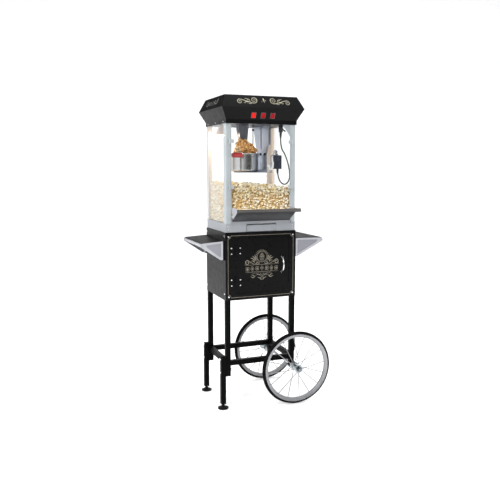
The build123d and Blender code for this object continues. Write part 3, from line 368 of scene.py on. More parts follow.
# ------------------------------------------------------------------ finishes of the CAD pieces
FINISHES = (
    (TUBE, "legs_and_rails extension_legs"),
    (ZINC, "axle gear_motor kettle_lever drive_shaft"),
    (NUT, "axle_nuts"),
    (PANEL, "cabinet_sides cabinet_back ceiling_panel"),
    (BLACK, "cabinet_floor_and_top cabinet_front cabinet_door hinge_leaves_fixed"
            " hinge_leaves_door"),
    (CHROME, "fasteners hinge_screws_door door_handle thermostat_knob"),
    (BLACK_PLASTIC, "door_catch rocker_bezels stop_rod kettle_plug"),
    (SHELF, "shelf_tops"),
    (CHEEK, "shelf_cheeks tray_cheeks"),
    (BASE, "popper_base kernel_drawer"),
    (STEEL, "popcorn_deck kettle_pot stirrer"),
    (POST, "corner_posts popper_hinges door_fittings_left door_fittings_right"),
    (GLASS, "chamber_glass"),
    (ACRYLIC, "popper_door_left popper_door_right"),
    (CANOPY, "canopy"),
    (SHEET, "drive_housing kettle_hanger kettle_bracket"),
    (LAMP_SHADE, "lamp_shade"),
    (BULB, "lamp_bulb"),
    (FOOT, "foot_front foot_rear"),
    (TRAY, "serving_tray"),
    (RED_GRIP, "kettle_grip"),
    (NAVY, "junction_box"),
    (ROCKER_LIT, "rocker_1"),
    (ROCKER, "rocker_2 rocker_3"),
    (TYRE, "wheel_front_tyre wheel_rear_tyre"),
    (RIM, "wheel_front_rim wheel_rear_rim"),
    (SPOKE, "wheel_front_spokes wheel_rear_spokes"),
    (HUB, "wheel_front_hub wheel_rear_hub"),
)
FINISH_OF = {piece: material for material, pieces in FINISHES for piece in pieces.split()}
SMOOTH_PIECES = set(
    "kettle_pot kettle_grip door_handle thermostat_knob axle_nuts lamp_bulb lamp_shade foot_front"
    " foot_rear kettle_plug fasteners stop_rod drive_shaft kettle_lever axle gear_motor".split())


def shade_smooth(mesh):
    mesh.polygons.foreach_set("use_smooth", [True] * len(mesh.polygons))


for name, piece in nodes.items():
    piece.data.materials.clear()
    piece.data.materials.append(FINISH_OF[name])
    if name in SMOOTH_PIECES or name.startswith("wheel"):
        shade_smooth(piece.data)
        piece.data.set_sharp_from_angle(angle=math.radians(32))


def refinish(piece, material, chosen):
    """Add a material slot to a piece for the faces that chosen(centre, normal) picks."""
    mesh = nodes[piece].data
    mesh.materials.append(material)
    for face in mesh.polygons:
        if chosen(face.center, face.normal):
            face.material_index = len(mesh.materials) - 1


# the clips on each popper door are metal, its knob is dark
for side in ("left", "right"):
    refinish("door_fittings_" + side, BLACK_PLASTIC, lambda centre, normal: abs(centre.x) < 0.03)

# painted highlight: the folded lip of the tray faces the light and is lighter than its face
refinish("serving_tray", TRAY_LIP_HIGHLIGHT, lambda centre, normal: math.hypot(
    centre.y - TRAY_HINGE_Y, centre.z - TRAY_HINGE_Z) > TRAY_LIP_RADIUS)

# painted shade: the pressed middle of each shelf cheek is darker than its border
refinish("shelf_cheeks", CHEEK_RECESS_SHADE, lambda centre, normal:
         abs(normal.y) > 0.9 and 0.1515 < abs(centre.y) < 0.1539)


def rim_radius(centre):
    return math.hypot(centre.x - WHEEL_X, centre.z - WHEEL_Z)


def faces_axle(centre, normal):
    outward = normal.x * (centre.x - WHEEL_X) + normal.z * (centre.z - WHEEL_Z)
    return outward / max(1e-6, rim_radius(centre)) < -0.72


# painted shade: the side of each rim that faces the axle is darker than its walls; its outer edge
# is black
for wheel in ("front", "rear"):
    rim = "wheel_%s_rim" % wheel
    refinish(rim, RIM_INSIDE_SHADE, faces_axle)
    refinish(rim, TYRE, lambda centre, normal:
             rim_radius(centre) > RIM_EDGE_RADIUS and not faces_axle(centre, normal))

# painted shade: the sloping ends of the canopy are darker and reflect nothing of the room
refinish("canopy", CANOPY_END_SHADE, lambda centre, normal: abs(normal.x) > 0.3 and normal.z > 0.2)

# painted lamplight: the posts at the back carry a warm tint and a faint glow for the lamp's light
refinish("corner_posts", POST_PAINTED_LAMPLIGHT, lambda centre, normal:
         centre.y > 0.05 and (normal.y < -0.5 or abs(normal.x) > 0.5) and abs(centre.x) < 0.1857)

# painted shade: the channel round the shaft is darker in front
refinish("drive_housing", CHANNEL_FRONT_SHADE, lambda centre, normal: normal.y < -0.7)


# ------------------------------------------------------------------ mesh helpers
def place(name, mesh, material, body):
    """Put a mesh in the scene, riding on a body if one is given."""
    thing = bpy.data.objects.new(name, mesh)
    bpy.context.collection.objects.link(thing)
    mesh.materials.append(material)
    if body:
        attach(thing, body)
    return thing


def add_attributes(mesh, attributes):
    for name, values in attributes.items():
        layer = mesh.attributes.new(name, "FLOAT", "POINT")
        layer.data.foreach_set("value", np.asarray(values, np.float32))


def new_mesh(name, verts, faces, material, body, smooth=False, attributes=None):
    mesh = bpy.data.meshes.new(name)
    mesh.from_pydata([tuple(vert) for vert in verts], [], [tuple(face) for face in faces])
    mesh.update()
    if smooth:
        shade_smooth(mesh)
    add_attributes(mesh, attributes or {})
    return place(name, mesh, material, body)


def tubes(paths, segments, flat=None):
    """Sweep a round section along (points, radii) paths; flat is a direction to squash it in."""
    verts, faces = [], []
    for points, radii in paths:
        points = [Vector(point) for point in points]
        count = len(points)
        if not hasattr(radii, "__len__"):
            radii = [radii] * count
        base = len(verts)
        side = None
        for i, point in enumerate(points):
            along = (points[min(i + 1, count - 1)] - points[max(i - 1, 0)]).normalized()
            if flat is not None:
                other = Vector(flat).normalized()
                side = along.cross(other).normalized()
            else:
                if side is None:
                    side = Vector((0, 0, 1)) if abs(along.z) < 0.9 else Vector((1, 0, 0))
                side = (side - along * side.dot(along)).normalized()
                other = along.cross(side)
            squash = 0.38 if flat is not None else 1.0
            for k in range(segments):
                angle = 2 * math.pi * k / segments
                verts.append(point + side * math.cos(angle) * radii[i]
                             + other * math.sin(angle) * radii[i] * squash)
        for i in range(count - 1):
            ring0 = base + i * segments
            ring1 = ring0 + segments
            for k in range(segments):
                k1 = (k + 1) % segments
                faces.append((ring0 + k, ring0 + k1, ring1 + k1, ring1 + k))
        faces.append(tuple(base + k for k in reversed(range(segments))))
        faces.append(tuple(base + (count - 1) * segments + k for k in range(segments)))
    return verts, faces


def smooth_path(control, count):
    """Catmull-Rom curve through the control points, with count steps to a span."""
    c = [Vector(point) for point in control]
    c = [c[0] * 2 - c[1]] + c + [c[-1] * 2 - c[-2]]
    points = []
    for i in range(1, len(c) - 2):
        for k in range(count):
            t = k / count
            points.append(0.5 * (
                (2 * c[i]) + (c[i + 1] - c[i - 1]) * t
                + (2 * c[i - 1] - 5 * c[i] + 4 * c[i + 1] - c[i + 2]) * t * t
                + (-c[i - 1] + 3 * c[i] - 3 * c[i + 1] + c[i + 2]) * t ** 3))
    points.append(c[-2])
    return points


def clamp(value, low, high):
    return min(max(value, low), high)


def steps(start, stop, step):
    while start < stop:
        yield start
        start += step


# ------------------------------------------------------------------ popcorn flakes
random.seed(7)                     # Python's own generator; the flakes draw from numpy's
draw = np.random.RandomState(11)


def unit_sphere(subdivisions):
    bpy.ops.mesh.primitive_ico_sphere_add(subdivisions=subdivisions, radius=1.0)
    sphere = bpy.context.object
    mesh = sphere.data
    verts = np.array([vert.co for vert in mesh.vertices], float)
    faces = np.array([list(face.vertices) for face in mesh.polygons], int)
    bpy.data.objects.remove(sphere)
    bpy.data.meshes.remove(mesh)
    return verts, faces


SPHERE, SPHERE_FACES = unit_sphere(3)
CORE_RADIUS = 0.42                 # of a flake, whose lobes reach to about 1


def make_flake():
    """A popped kernel: rounded lobes round a small hull; returns points, lobe and hull values."""
    lobes = draw.normal(size=(draw.randint(5, 8), 3))
    lobes /= np.linalg.norm(lobes, axis=1)[:, None]
    lobes[0] = (0, 0, -1)          # the hull's side
    size = draw.uniform(0.55, 1.0, len(lobes))
    size[0] = 0.35
    radius = np.full(len(SPHERE), CORE_RADIUS)
    for k in range(len(lobes)):
        angle = np.arccos(np.clip(SPHERE @ lobes[k], -1, 1))
        width = draw.uniform(0.55, 0.78)
        bulge = np.where(angle < width, np.sqrt(np.clip(1 - (angle / width) ** 2, 0, 1)), 0)
        radius = np.maximum(radius, CORE_RADIUS + (1 - CORE_RADIUS) * size[k] * bulge ** 0.75)
    ripple = (0.05 * np.sin(SPHERE @ draw.normal(size=3) * 7)
              + 0.03 * np.sin(SPHERE @ draw.normal(size=3) * 15))
    radius = radius + ripple
    points = SPHERE * radius[:, None]
    points *= np.array([1.0, draw.uniform(0.8, 1.05), draw.uniform(0.7, 0.95)])
    lobe = (radius - radius.min()) / (radius.max() - radius.min())
    hull = np.clip((SPHERE @ lobes[0] - 0.72) / 0.2, 0, 1)
    return points / np.abs(points).max(), lobe, hull


FLAKES = [make_flake() for _ in range(10)]


def random_rotations(count):
    """Rotation matrices from random unit quaternions."""
    q = draw.normal(size=(count, 4))
    q /= np.linalg.norm(q, axis=1)[:, None]
    w, x, y, z = q.T
    rows = (
        (1 - 2 * (y * y + z * z), 2 * (x * y - z * w), 2 * (x * z + y * w)),
        (2 * (x * y + z * w), 1 - 2 * (x * x + z * z), 2 * (y * z - x * w)),
        (2 * (x * z - y * w), 2 * (y * z + x * w), 1 - 2 * (x * x + y * y)))
    return np.stack([np.stack(row, -1) for row in rows], -2)


def scatter(name, centres, radii, material, body, tones=None):
    """One mesh of randomly turned flakes; tones are drawn if none are given."""
    centres = np.array(centres)
    turns = random_rotations(len(centres))
    verts, faces, lobes, hulls, tone_values = [], [], [], [], []
    for i, centre in enumerate(centres):
        points, lobe, hull = FLAKES[draw.randint(len(FLAKES))]
        verts.append(points @ turns[i].T * radii[i] + centre)
        faces.append(SPHERE_FACES + i * len(SPHERE))
        lobes.append(lobe)
        hulls.append(hull)
        tone_values.append(np.full(len(SPHERE), draw.rand() if tones is None else tones[i]))
    verts = np.concatenate(verts)
    faces = np.concatenate(faces)
    mesh = bpy.data.meshes.new(name)
    mesh.vertices.add(len(verts))
    mesh.vertices.foreach_set("co", verts.astype(np.float32).ravel())
    mesh.loops.add(len(faces) * 3)
    mesh.loops.foreach_set("vertex_index", faces.astype(np.int32).ravel())
    mesh.polygons.add(len(faces))
    mesh.polygons.foreach_set("loop_start", np.arange(0, len(faces) * 3, 3, dtype=np.int32))
    mesh.polygons.foreach_set("use_smooth", np.ones(len(faces), bool))
    mesh.update(calc_edges=True)
    add_attributes(mesh, {"lobe": np.concatenate(lobes), "hull": np.concatenate(hulls),
                          "tone": np.concatenate(tone_values)})
    return place(name, mesh, material, body)


# ------------------------------------------------------------------ heap in the chamber
SPACING = 0.0145   # between flakes
MARGIN = 0.0125                        # from the glass to the outermost centres
JITTER = 0.006
LOWEST_FLAKE = CHAMBER_FLOOR + 0.012
WALL_TOP = 1.115                       # the top layers take over above this


def heap_top(x, y):
    """Surface of the heap: falling to the right, rippled, lower at the right and front."""
    across = (x - CHAMBER_LEFT) / (CHAMBER_RIGHT - CHAMBER_LEFT)
    z = 1.147 - 0.022 * across
    z += 0.004 * math.sin(x * 38 + y * 21) + 0.003 * math.sin(y * 47 - x * 17)
    z -= 0.010 * max(0.0, (across - 0.72) / 0.28)
    z -= 0.010 * max(0.0, -(y + 0.09) / 0.06)
    return z


def heap_flakes():
    """Centres and radii: two layers on top, then one layer against each pane."""
    centres, radii = [], []

    def add(x, y, z):
        centres.append((x, y, z))
        radii.append(draw.uniform(0.0076, 0.0106))

    left, right = CHAMBER_LEFT + MARGIN, CHAMBER_RIGHT - MARGIN
    front, back = CHAMBER_FRONT + MARGIN, CHAMBER_BACK - MARGIN
    for grid_x in steps(left, right + 1e-6, SPACING):
        for grid_y in steps(front, back + 1e-6, SPACING):
            for layer in (0, 1):
                jitter_x, jitter_y = draw.uniform(-JITTER, JITTER, 2)
                x = clamp(grid_x + jitter_x, left, right)
                y = clamp(grid_y + jitter_y, front, back)
                add(x, y, heap_top(x, y) - 0.011 - layer * 0.013 + draw.uniform(-0.004, 0.004))
    # pane position, direction into the chamber, whether it stands across X, extent of the pane
    panes = ((left, 1, True, front, back), (right, -1, True, front, back),
             (back, -1, False, left, right), (front, 1, False, left, right))
    for pane, inward, across_x, start, stop in panes:
        for grid_along in steps(start, stop, SPACING):
            for grid_z in steps(LOWEST_FLAKE, WALL_TOP, SPACING):
                along = clamp(grid_along + draw.uniform(-JITTER, JITTER), start, stop)
                z = max(grid_z + draw.uniform(-JITTER, JITTER), LOWEST_FLAKE)
                depth = pane + inward * draw.uniform(0, 0.003)
                if across_x:
                    add(depth, along, z)
                else:
                    add(along, depth, z)
    return centres, radii


def heap_tones(centres):
    """Random tones, darker at the front left and lighter on the right."""
    x, y, _ = np.array(centres).T
    darker = 0.34 * np.clip((-0.045 - x) / 0.09, 0, 1) * (y < -0.02)
    lighter = 0.16 * np.clip((x - 0.02) / 0.1, 0, 1)
    return draw.rand(len(centres)) + darker - lighter


def make_core():
    """Solid block inside the heap, so that light can't pass between the flakes."""
    nx, ny = 24, 20
    inset, sink, lift = 0.020, 0.024, 0.004   # from the glass, the heap's top and the floor
    top = []
    for j in range(ny + 1):
        for i in range(nx + 1):
            x = CHAMBER_LEFT + inset + (CHAMBER_RIGHT - CHAMBER_LEFT - 2 * inset) * i / nx
            y = CHAMBER_FRONT + inset + (CHAMBER_BACK - CHAMBER_FRONT - 2 * inset) * j / ny
            top.append((x, y, heap_top(x, y) - sink))
    verts = top + [(x, y, CHAMBER_FLOOR + lift) for x, y, _ in top]
    below, row = len(top), nx + 1
    faces = []
    for j in range(ny):
        for i in range(nx):
            a = j * row + i
            faces.append((a, a + 1, a + row + 1, a + row))
            faces.append((below + a, below + a + row, below + a + row + 1, below + a + 1))
    edge = list(range(row))
    edge += [j * row + nx for j in range(1, ny + 1)]
    edge += [ny * row + i for i in range(nx - 1, -1, -1)]
    edge += [j * row for j in range(ny - 1, 0, -1)]
    for a, b in zip(edge, edge[1:] + edge[:1]):
        faces.append((a, below + a, below + b, b))
    count = len(verts)
    new_mesh("popcorn_core", verts, faces, POPCORN, "cart",
             attributes={"lobe": [0.2] * count, "hull": [0] * count, "tone": [0.8] * count})


heap_centres, heap_radii = heap_flakes()
scatter("popcorn_heap", heap_centres, heap_radii, POPCORN, "cart", heap_tones(heap_centres))
make_core()


# ------------------------------------------------------------------ popcorn on the open tray
def tray_flakes():
    out_y, out_z = -math.sin(TRAY_ANGLE), math.cos(TRAY_ANGLE)   # along the face, hinge to lip
    up_y, up_z = math.cos(TRAY_ANGLE), math.sin(TRAY_ANGLE)      # off the face
    centres, radii = [], []
    for along in steps(0.010, 0.078, SPACING):
        for x in steps(-0.141, 0.142, SPACING):
            for height in steps(0.0135, 0.050 - 0.42 * along, SPACING):
                y = TRAY_HINGE_Y + out_y * along + up_y * height
                z = TRAY_HINGE_Z + out_z * along + up_z * height
                if y < CHAMBER_FRONT + 0.004 and z < 1.020:
                    centres.append((x + draw.uniform(-0.005, 0.005),
                                    y + draw.uniform(-0.003, 0.003),
                                    z + draw.uniform(-0.003, 0.003)))
                    radii.append(draw.uniform(0.0095, 0.0125))
    return centres, radii


tray_popcorn = scatter("popcorn_on_tray", *tray_flakes(), POPCORN, "cart")
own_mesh(tray_popcorn)

# ------------------------------------------------------------------ popcorn rising from the kettle
BURST_BASE = 1.286
# distance across the kettle, height of the burst's ridge there
BURST_RIDGE = (
    (-0.0900, 1.292), (-0.0826, 1.306), (-0.0738, 1.337), (-0.0660, 1.361), (-0.0475, 1.371),
    (-0.0224, 1.358), (0.0, 1.341), (0.0163, 1.326), (0.0363, 1.299), (0.0450, 1.291))


def burst_top(x, y):
    """Highest left of the middle, in front of the channel, falling to the rim on the right."""
    across = x - 0.374 * y
    ridge = np.interp(across, *zip(*BURST_RIDGE))
    ridge_y = -0.032 * float(np.clip(1 - ((across + 0.030) / 0.055) ** 2, 0, 1))
    share = max(0.0, 1 - 0.85 * ((y - ridge_y) / 0.062) ** 2)
    return BURST_BASE + (ridge - BURST_BASE) * share


def hits_drive(x, y, z, radius):
    """Whether a flake would cut into the channel or the shaft."""
    in_channel = (z > CHANNEL_BOTTOM - radius
                  and abs(x - CHANNEL_X) < CHANNEL_HALF_X + 0.8 * radius
                  and abs(y) < CHANNEL_HALF_Y + 0.8 * radius)
    return in_channel or math.hypot(x - KETTLE_X, y - KETTLE_Y) < 0.006 + 0.6 * radius


def burst_flakes():
    spacing = 0.0115
    centres, radii, tones = [], [], []
    for x in steps(-0.095, 0.034, spacing):
        for y in steps(-0.062, 0.063, spacing):
            off_axis = math.hypot(x - KETTLE_X, y - KETTLE_Y)
            if off_axis >= 0.060:
                continue
            top = burst_top(x, y)
            for layer in range(8):
                z = top - 0.010 - layer * 0.012
                if z < 1.264:
                    break
                centre = (x + draw.uniform(-0.004, 0.004), y + draw.uniform(-0.004, 0.004),
                          z + draw.uniform(-0.003, 0.003))
                radius = draw.uniform(0.0085, 0.0122)
                tone = draw.uniform(-0.35, 0.35)
                if (z < 1.294 and off_axis > 0.052) or hits_drive(*centre, radius):
                    continue
                centres.append(centre)
                radii.append(radius)
                # darker to the right, lighter low down on the left
                left = max(0.0, (-0.058 - x) / 0.03)
                low = max(0.0, (1.322 - z) / 0.03)
                tone += (0.62 + 0.5 * (x + 0.03) / 0.05
                         - 0.9 * left * min(1.0, low + 0.3) - 0.15 * low)
                tones.append(float(np.clip(tone, 0, 1.05)))
    return centres, radii, tones


burst_centres, burst_radii, burst_tones = burst_flakes()
burst = scatter("popcorn_in_kettle", burst_centres, burst_radii, POPCORN_GOLDEN, "kettle",
                burst_tones)
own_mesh(burst)

# ------------------------------------------------------------------ cord and leads
# the cord hangs from the plug end at the top, loops and comes up to the kettle's box
CORD = (
    (0.122, -0.112, 1.382), (0.1225, -0.112, 1.345), (0.129, -0.112, 1.310),
    (0.146, -0.113, 1.280), (0.162, -0.113, 1.240), (0.171, -0.113, 1.200),
    (0.172, -0.113, 1.165), (0.163, -0.111, 1.140), (0.147, -0.104, 1.131),
    (0.131, -0.095, 1.142), (0.122, -0.086, 1.168), (0.120, -0.080, 1.203))
RELIEF_TOP = ((0.122, -0.112, 1.381), (0.122, -0.112, 1.372), (0.122, -0.112, 1.362))
RELIEF_BOX = ((0.120, -0.080, 1.201), (0.120, -0.080, 1.192), (0.1203, -0.081, 1.184))


def kettle_lead(offset, top):
    """One sleeved lead, set off from its neighbours, ending near height top."""
    return smooth_path([
        (0.0575, -0.080 + offset, 1.205), (0.064, -0.088, 1.222 + offset),
        (0.071 + offset, -0.094, 1.205), (0.079 + offset, -0.099, 1.212),
        (0.084 + offset * 0.5, -0.1005, 1.240), (0.080, -0.1005, top - 0.004),
        (0.0865, -0.094, top + 0.004), (0.093, -0.088 + offset, top - 0.002)], 10)


cord = new_mesh("power_cord", *tubes([(smooth_path(CORD, 14), 0.0033)], 12),
                BLACK_PLASTIC, None, True)
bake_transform(cord)
new_mesh("cord_relief_top", *tubes([(RELIEF_TOP, [0.0062, 0.0052, 0.0040])], 16),
         BLACK_PLASTIC, "cart", True)
new_mesh("cord_relief_box", *tubes([(RELIEF_BOX, [0.0060, 0.0050, 0.0040])], 16),
         BLACK_PLASTIC, "kettle", True)
leads = [(kettle_lead(offset, top), 0.0030)
         for offset, top in ((0.0, 1.268), (0.006, 1.250), (0.003, 1.258))]
new_mesh("kettle_leads", *tubes(leads, 8), WHITE_SLEEVE, "kettle", True)


# ------------------------------------------------------------------ pinstripe on the cabinet front
def ribbon(points, width, y0, y1):
    """Closed flat ribbon round (x, z) points, from y0 to y1."""
    verts, faces = [], []
    count = len(points)
    for i, (x, z) in enumerate(points):
        xa, za = points[i - 1]
        xb, zb = points[(i + 1) % count]
        along = Vector((xb - xa, 0, zb - za)).normalized()
        offset = Vector((-along.z, 0, along.x)) * (width / 2)
        for side in (-1, 1):
            for y in (y0, y1):
                verts.append((x + side * offset.x, y, z + side * offset.z))
    for i in range(count):
        a, b = i * 4, ((i + 1) % count) * 4
        faces += [(a, a + 2, b + 2, b), (a + 1, b + 1, b + 3, a + 3),
                  (a, b, b + 1, a + 1), (a + 2, a + 3, b + 3, b + 2)]
    return verts, faces


def notched_rectangle(half_width, bottom, top, radius):
    """Rectangle with concave corners, clockwise from the top right."""
    corners = ((half_width, top, 180), (half_width, bottom, 90),
               (-half_width, bottom, 0), (-half_width, top, 270))
    points = []
    for corner_x, corner_z, start in corners:
        for k in range(9):
            angle = math.radians(start + 90 * k / 8)
            points.append((corner_x + radius * math.cos(angle),
                           corner_z + radius * math.sin(angle)))
    return points


stripe = notched_rectangle(half_width=0.1765, bottom=0.571, top=0.8815, radius=0.015)
new_mesh("pinstripe", *ribbon(stripe, width=0.0016, y0=-CABINET_HALF_DEPTH - 0.0003,
                              y1=-CABINET_HALF_DEPTH + 0.0001), BEIGE, "cart")


# ------------------------------------------------------------------ ornament strokes
# a stroke is (points, radii), its points lying in the plane of the ornament
def hermite(p0, t0, p1, t1, count=16):
    """Points of a Hermite curve between its ends, which are left out."""
    points = []
    for i in range(1, count):
        t = i / count
        weights = (2 * t ** 3 - 3 * t ** 2 + 1, t ** 3 - 2 * t ** 2 + t,
                   -2 * t ** 3 + 3 * t ** 2, t ** 3 - t ** 2)
        points.append(tuple(sum(weight * part[k] for weight, part in zip(weights, (p0, t0, p1, t1)))
                            for k in (0, 1)))
    return points


def volute(centre, size, count, start, sweep, scale, growth):
    """Spiral of half axes size, times scale at its start and scale + growth at its end."""
    points = []
    for i in range(count + 1):
        t = i / count
        angle = math.radians(start + sweep * t)
        reach = scale + growth * t
        points.append((centre[0] + size[0] * reach * math.cos(angle),
                       centre[1] + size[1] * reach * math.sin(angle)))
    return points


def leaf(x0, y0, x1, y1, bow, width):
    """A bent stroke, fat in the middle and fine at both ends."""
    dx, dy = x1 - x0, y1 - y0
    points, radii = [], []
    for i in range(13):
        t = i / 12
        bend = bow * math.sin(math.pi * t)
        points.append((x0 + dx * t - dy * bend, y0 + dy * t + dx * bend))
        radii.append(0.00035 + width * math.sin(math.pi * min(1.0, t * 0.92 + 0.06)))
    return points, radii


def ring(u, v, radius, width, count=48, wobble=0.0, lobes=0):
    points = []
    for i in range(count + 1):
        angle = 2 * math.pi * i / count
        reach = radius + wobble * math.cos(lobes * angle)
        points.append((u + reach * math.cos(angle), v + reach * math.sin(angle)))
    return points, [width] * (count + 1)


def line(points, width):
    return points, [width] * len(points)


def dot(u, v, radius, half=0.0006):
    return line([(u - half, v), (u + half, v)], radius)


def mirrored(strokes):
    return [([(-u, v) for u, v in points], radii) for points, radii in strokes]


def ornament(name, strokes, origin, across, up, material, body, lift=0.0003):
    """Lay strokes on the plane through origin, as flattened tubes just proud of it."""
    origin, across, up = Vector(origin), Vector(across).normalized(), Vector(up).normalized()
    normal = across.cross(up).normalized()
    laid = [([origin + across * u + up * v + normal * lift for u, v in points], radii)
            for points, radii in strokes]
    new_mesh(name, *tubes(laid, 8, flat=normal), material, body, True)


# ------------------------------------------------------------------ canopy scrollwork
# x0, y0, x1, y1, bow, width
SCROLL_LEAVES = (
    (0.016, -0.0065, -0.016, 0.0035, 0.18, 0.0017), (0.006, -0.0015, -0.012, 0.0125, -0.25, 0.0015),
    (0.014, -0.004, 0.002, 0.011, -0.22, 0.0014), (-0.004, -0.004, -0.020, -0.010, 0.22, 0.0013),
    (0.022, -0.014, 0.004, -0.015, 0.20, 0.0013), (0.050, 0.016, 0.054, 0.004, -0.2, 0.0010))
BIG_EYE = (0.0355, 0.0040)
SMALL_EYE = (-0.0385, -0.0065)
# u, v, radius
SCROLL_DOTS = ((-0.013, -0.0165, 0.0013), (-0.003, -0.0175, 0.0011), (0.030, -0.0180, 0.0010),
               (*SMALL_EYE, 0.0015), (*BIG_EYE, 0.0017))


def scroll_motif(scale=1.0, weight=1.0):
    """A large volute, a long S and a smaller volute curling the other way, leaves and dots."""
    big = volute(BIG_EYE, (0.0172, 0.0172), count=60, start=510, sweep=-600,
                 scale=0.16, growth=0.84)
    small = volute(SMALL_EYE, (0.0135, 0.0135), count=50, start=90, sweep=500,
                   scale=1, growth=-0.82)
    points = big + hermite(big[-1], (-0.050, -0.004), small[0], (-0.046, 0.002)) + small
    last = len(points) - 1
    # the far end's sine can dip below zero by rounding, which a power won't take
    radii = [0.00055 + 0.0014 * max(0.0, math.sin(math.pi * i / last)) ** 1.2
             for i in range(last + 1)]
    strokes = [(points, radii)]
    strokes += [leaf(*row) for row in SCROLL_LEAVES]
    strokes += [dot(*row) for row in SCROLL_DOTS]
    return [([(u * scale, v * scale) for u, v in points], [r * weight * scale for r in radii])
            for points, radii in strokes]


canopy_rise = CANOPY_TOP_Z - CANOPY_FOOT_Z
front_run = CANOPY_FOOT_DEPTH - CANOPY_TOP_DEPTH
side_run = CANOPY_FOOT_WIDTH - CANOPY_TOP_WIDTH


def canopy_front(x, share):
    """Point on the sloping front, a share of the way up it."""
    return (x, -CANOPY_FOOT_DEPTH + front_run * share, CANOPY_FOOT_Z + canopy_rise * share)


front_up = (0, front_run, canopy_rise)
front_scroll = scroll_motif(weight=0.80)
ornament("canopy_scroll_left", front_scroll, canopy_front(-0.082, 0.54), (1, 0, 0), front_up,
         GOLD, "cart")
ornament("canopy_scroll_right", mirrored(front_scroll), canopy_front(0.090, 0.54), (1, 0, 0),
         front_up, GOLD, "cart")
drop = [([(0.0, 0.012), (0.0015, 0.004), (0.003, -0.006), (0.0042, -0.014)],
         [0.0016, 0.0036, 0.0018, 0.0005]),
        ([(-0.007, -0.004), (-0.009, -0.010)], [0.0006, 0.0012]),
        ([(0.010, 0.002), (0.0125, -0.004)], [0.0006, 0.0012])]
ornament("canopy_drop", drop, canopy_front(0.003, 0.60), (1, 0, 0), front_up, GOLD, "cart")
half_scroll = [([(u + 0.048, v) for u, v in points], radii)
               for points, radii in scroll_motif(scale=0.82)]
# the side scrolls take the painted-shade copy of the gold
for name, side in (("left", -1), ("right", 1)):
    ornament("canopy_scroll_side_" + name, half_scroll + mirrored(half_scroll),
             (side * (CANOPY_FOOT_WIDTH - side_run * 0.52), 0, CANOPY_FOOT_Z + canopy_rise * 0.52),
             (0, side, 0), (-side * side_run, 0, canopy_rise), GOLD_SHADE, "cart")

# ------------------------------------------------------------------ door emblem
ROUNDEL_V = 0.040
# u, v, radius of each popped kernel in the tub
EMBLEM_CORN = (
    (-0.0085, 0.0438, 0.0032), (-0.0028, 0.0448, 0.0034), (0.0032, 0.0442, 0.0032),
    (0.0088, 0.0438, 0.0031), (-0.0056, 0.0498, 0.0032), (0.0003, 0.0510, 0.0034),
    (0.0060, 0.0497, 0.0031), (-0.0022, 0.0560, 0.0029), (0.0034, 0.0553, 0.0027))
# right-hand leaves: x0, y0, x1, y1, bow, width
FAN_LEAVES = (
    (0.034, 0.022, 0.041, 0.050, 0.16, 0.0026), (0.037, 0.019, 0.053, 0.046, 0.16, 0.0027),
    (0.040, 0.015, 0.063, 0.036, 0.18, 0.0025), (0.041, 0.011, 0.058, 0.020, 0.22, 0.0018),
    (0.030, 0.012, 0.038, 0.004, -0.2, 0.0018), (0.012, 0.0065, 0.034, 0.0045, -0.12, 0.0018),
    (0.020, 0.0110, 0.030, 0.0145, -0.2, 0.0014))
FLOURISH_LEAVES = (
    (0.006, -0.058, 0.034, -0.0545, 0.22, 0.0016), (0.034, -0.0545, 0.062, -0.0575, -0.30, 0.0022),
    (0.040, -0.060, 0.058, -0.0500, 0.10, 0.0018), (0.004, -0.064, 0.024, -0.0600, -0.28, 0.0017),
    (0.0, -0.052, 0.016, -0.0560, 0.35, 0.0012), (0.001, -0.0765, 0.010, -0.0650, -0.25, 0.0020))


def roundel():
    """Two rings, a wreath that is open at the foot, and a tub of corn."""
    strokes = [ring(0.0, ROUNDEL_V, 0.0255, 0.0010), ring(0.0, ROUNDEL_V, 0.0285, 0.0006)]
    for k in range(26):
        angle = 2 * math.pi * (k + 0.5) / 26
        if not 245 < math.degrees(angle) < 295:
            strokes.append(([(reach * math.cos(angle), ROUNDEL_V + reach * math.sin(angle))
                             for reach in (0.0300, 0.0335, 0.0372)], [0.0010, 0.0021, 0.0006]))
    for k in range(5):
        top, foot = -0.0115 + k * 0.00575, -0.0080 + k * 0.0040
        strokes.append(line([(top, 0.0400), ((top + foot) / 2, 0.0310), (foot, 0.0225)], 0.0011))
    strokes.append(line([(-0.0122, 0.0405), (0.0, 0.0395), (0.0122, 0.0405)], 0.0010))
    strokes.append(line([(-0.0085, 0.0222), (0.0, 0.0212), (0.0085, 0.0222)], 0.0010))
    strokes += [ring(*row, 0.0008, 18, wobble=0.0005, lobes=3) for row in EMBLEM_CORN]
    return strokes


def emblem_side():
    """Right-hand half of the leaf fans, volutes and lower flourish."""
    strokes = [leaf(*row) for row in FAN_LEAVES]
    # outer volute, rising from the middle and curling down at the end
    curl = volute((0.0780, 0.0125), (0.0130, 0.0120), count=40, start=95, sweep=-470,
                  scale=1, growth=-0.80)
    stem = (0.040, 0.0035)
    points = [stem] + hermite(stem, (0.020, 0.000), curl[0], (0.022, 0.016), 12) + curl
    last = len(points) - 1
    strokes.append((points, [0.0006 + 0.0018 * math.sin(math.pi * min(1.0, 0.10 + 0.90 * i / last))
                             for i in range(last + 1)]))
    for u, v in ((0.0905, 0.0005), (0.0640, 0.0085)):
        strokes.append(([(u, v), (u, v + 0.004)], [0.0015, 0.0006]))
    strokes += [leaf(*row) for row in FLOURISH_LEAVES]
    strokes.append(([(0.020, -0.0455), (0.055, -0.0450)], [0.0009, 0.0005]))
    return strokes


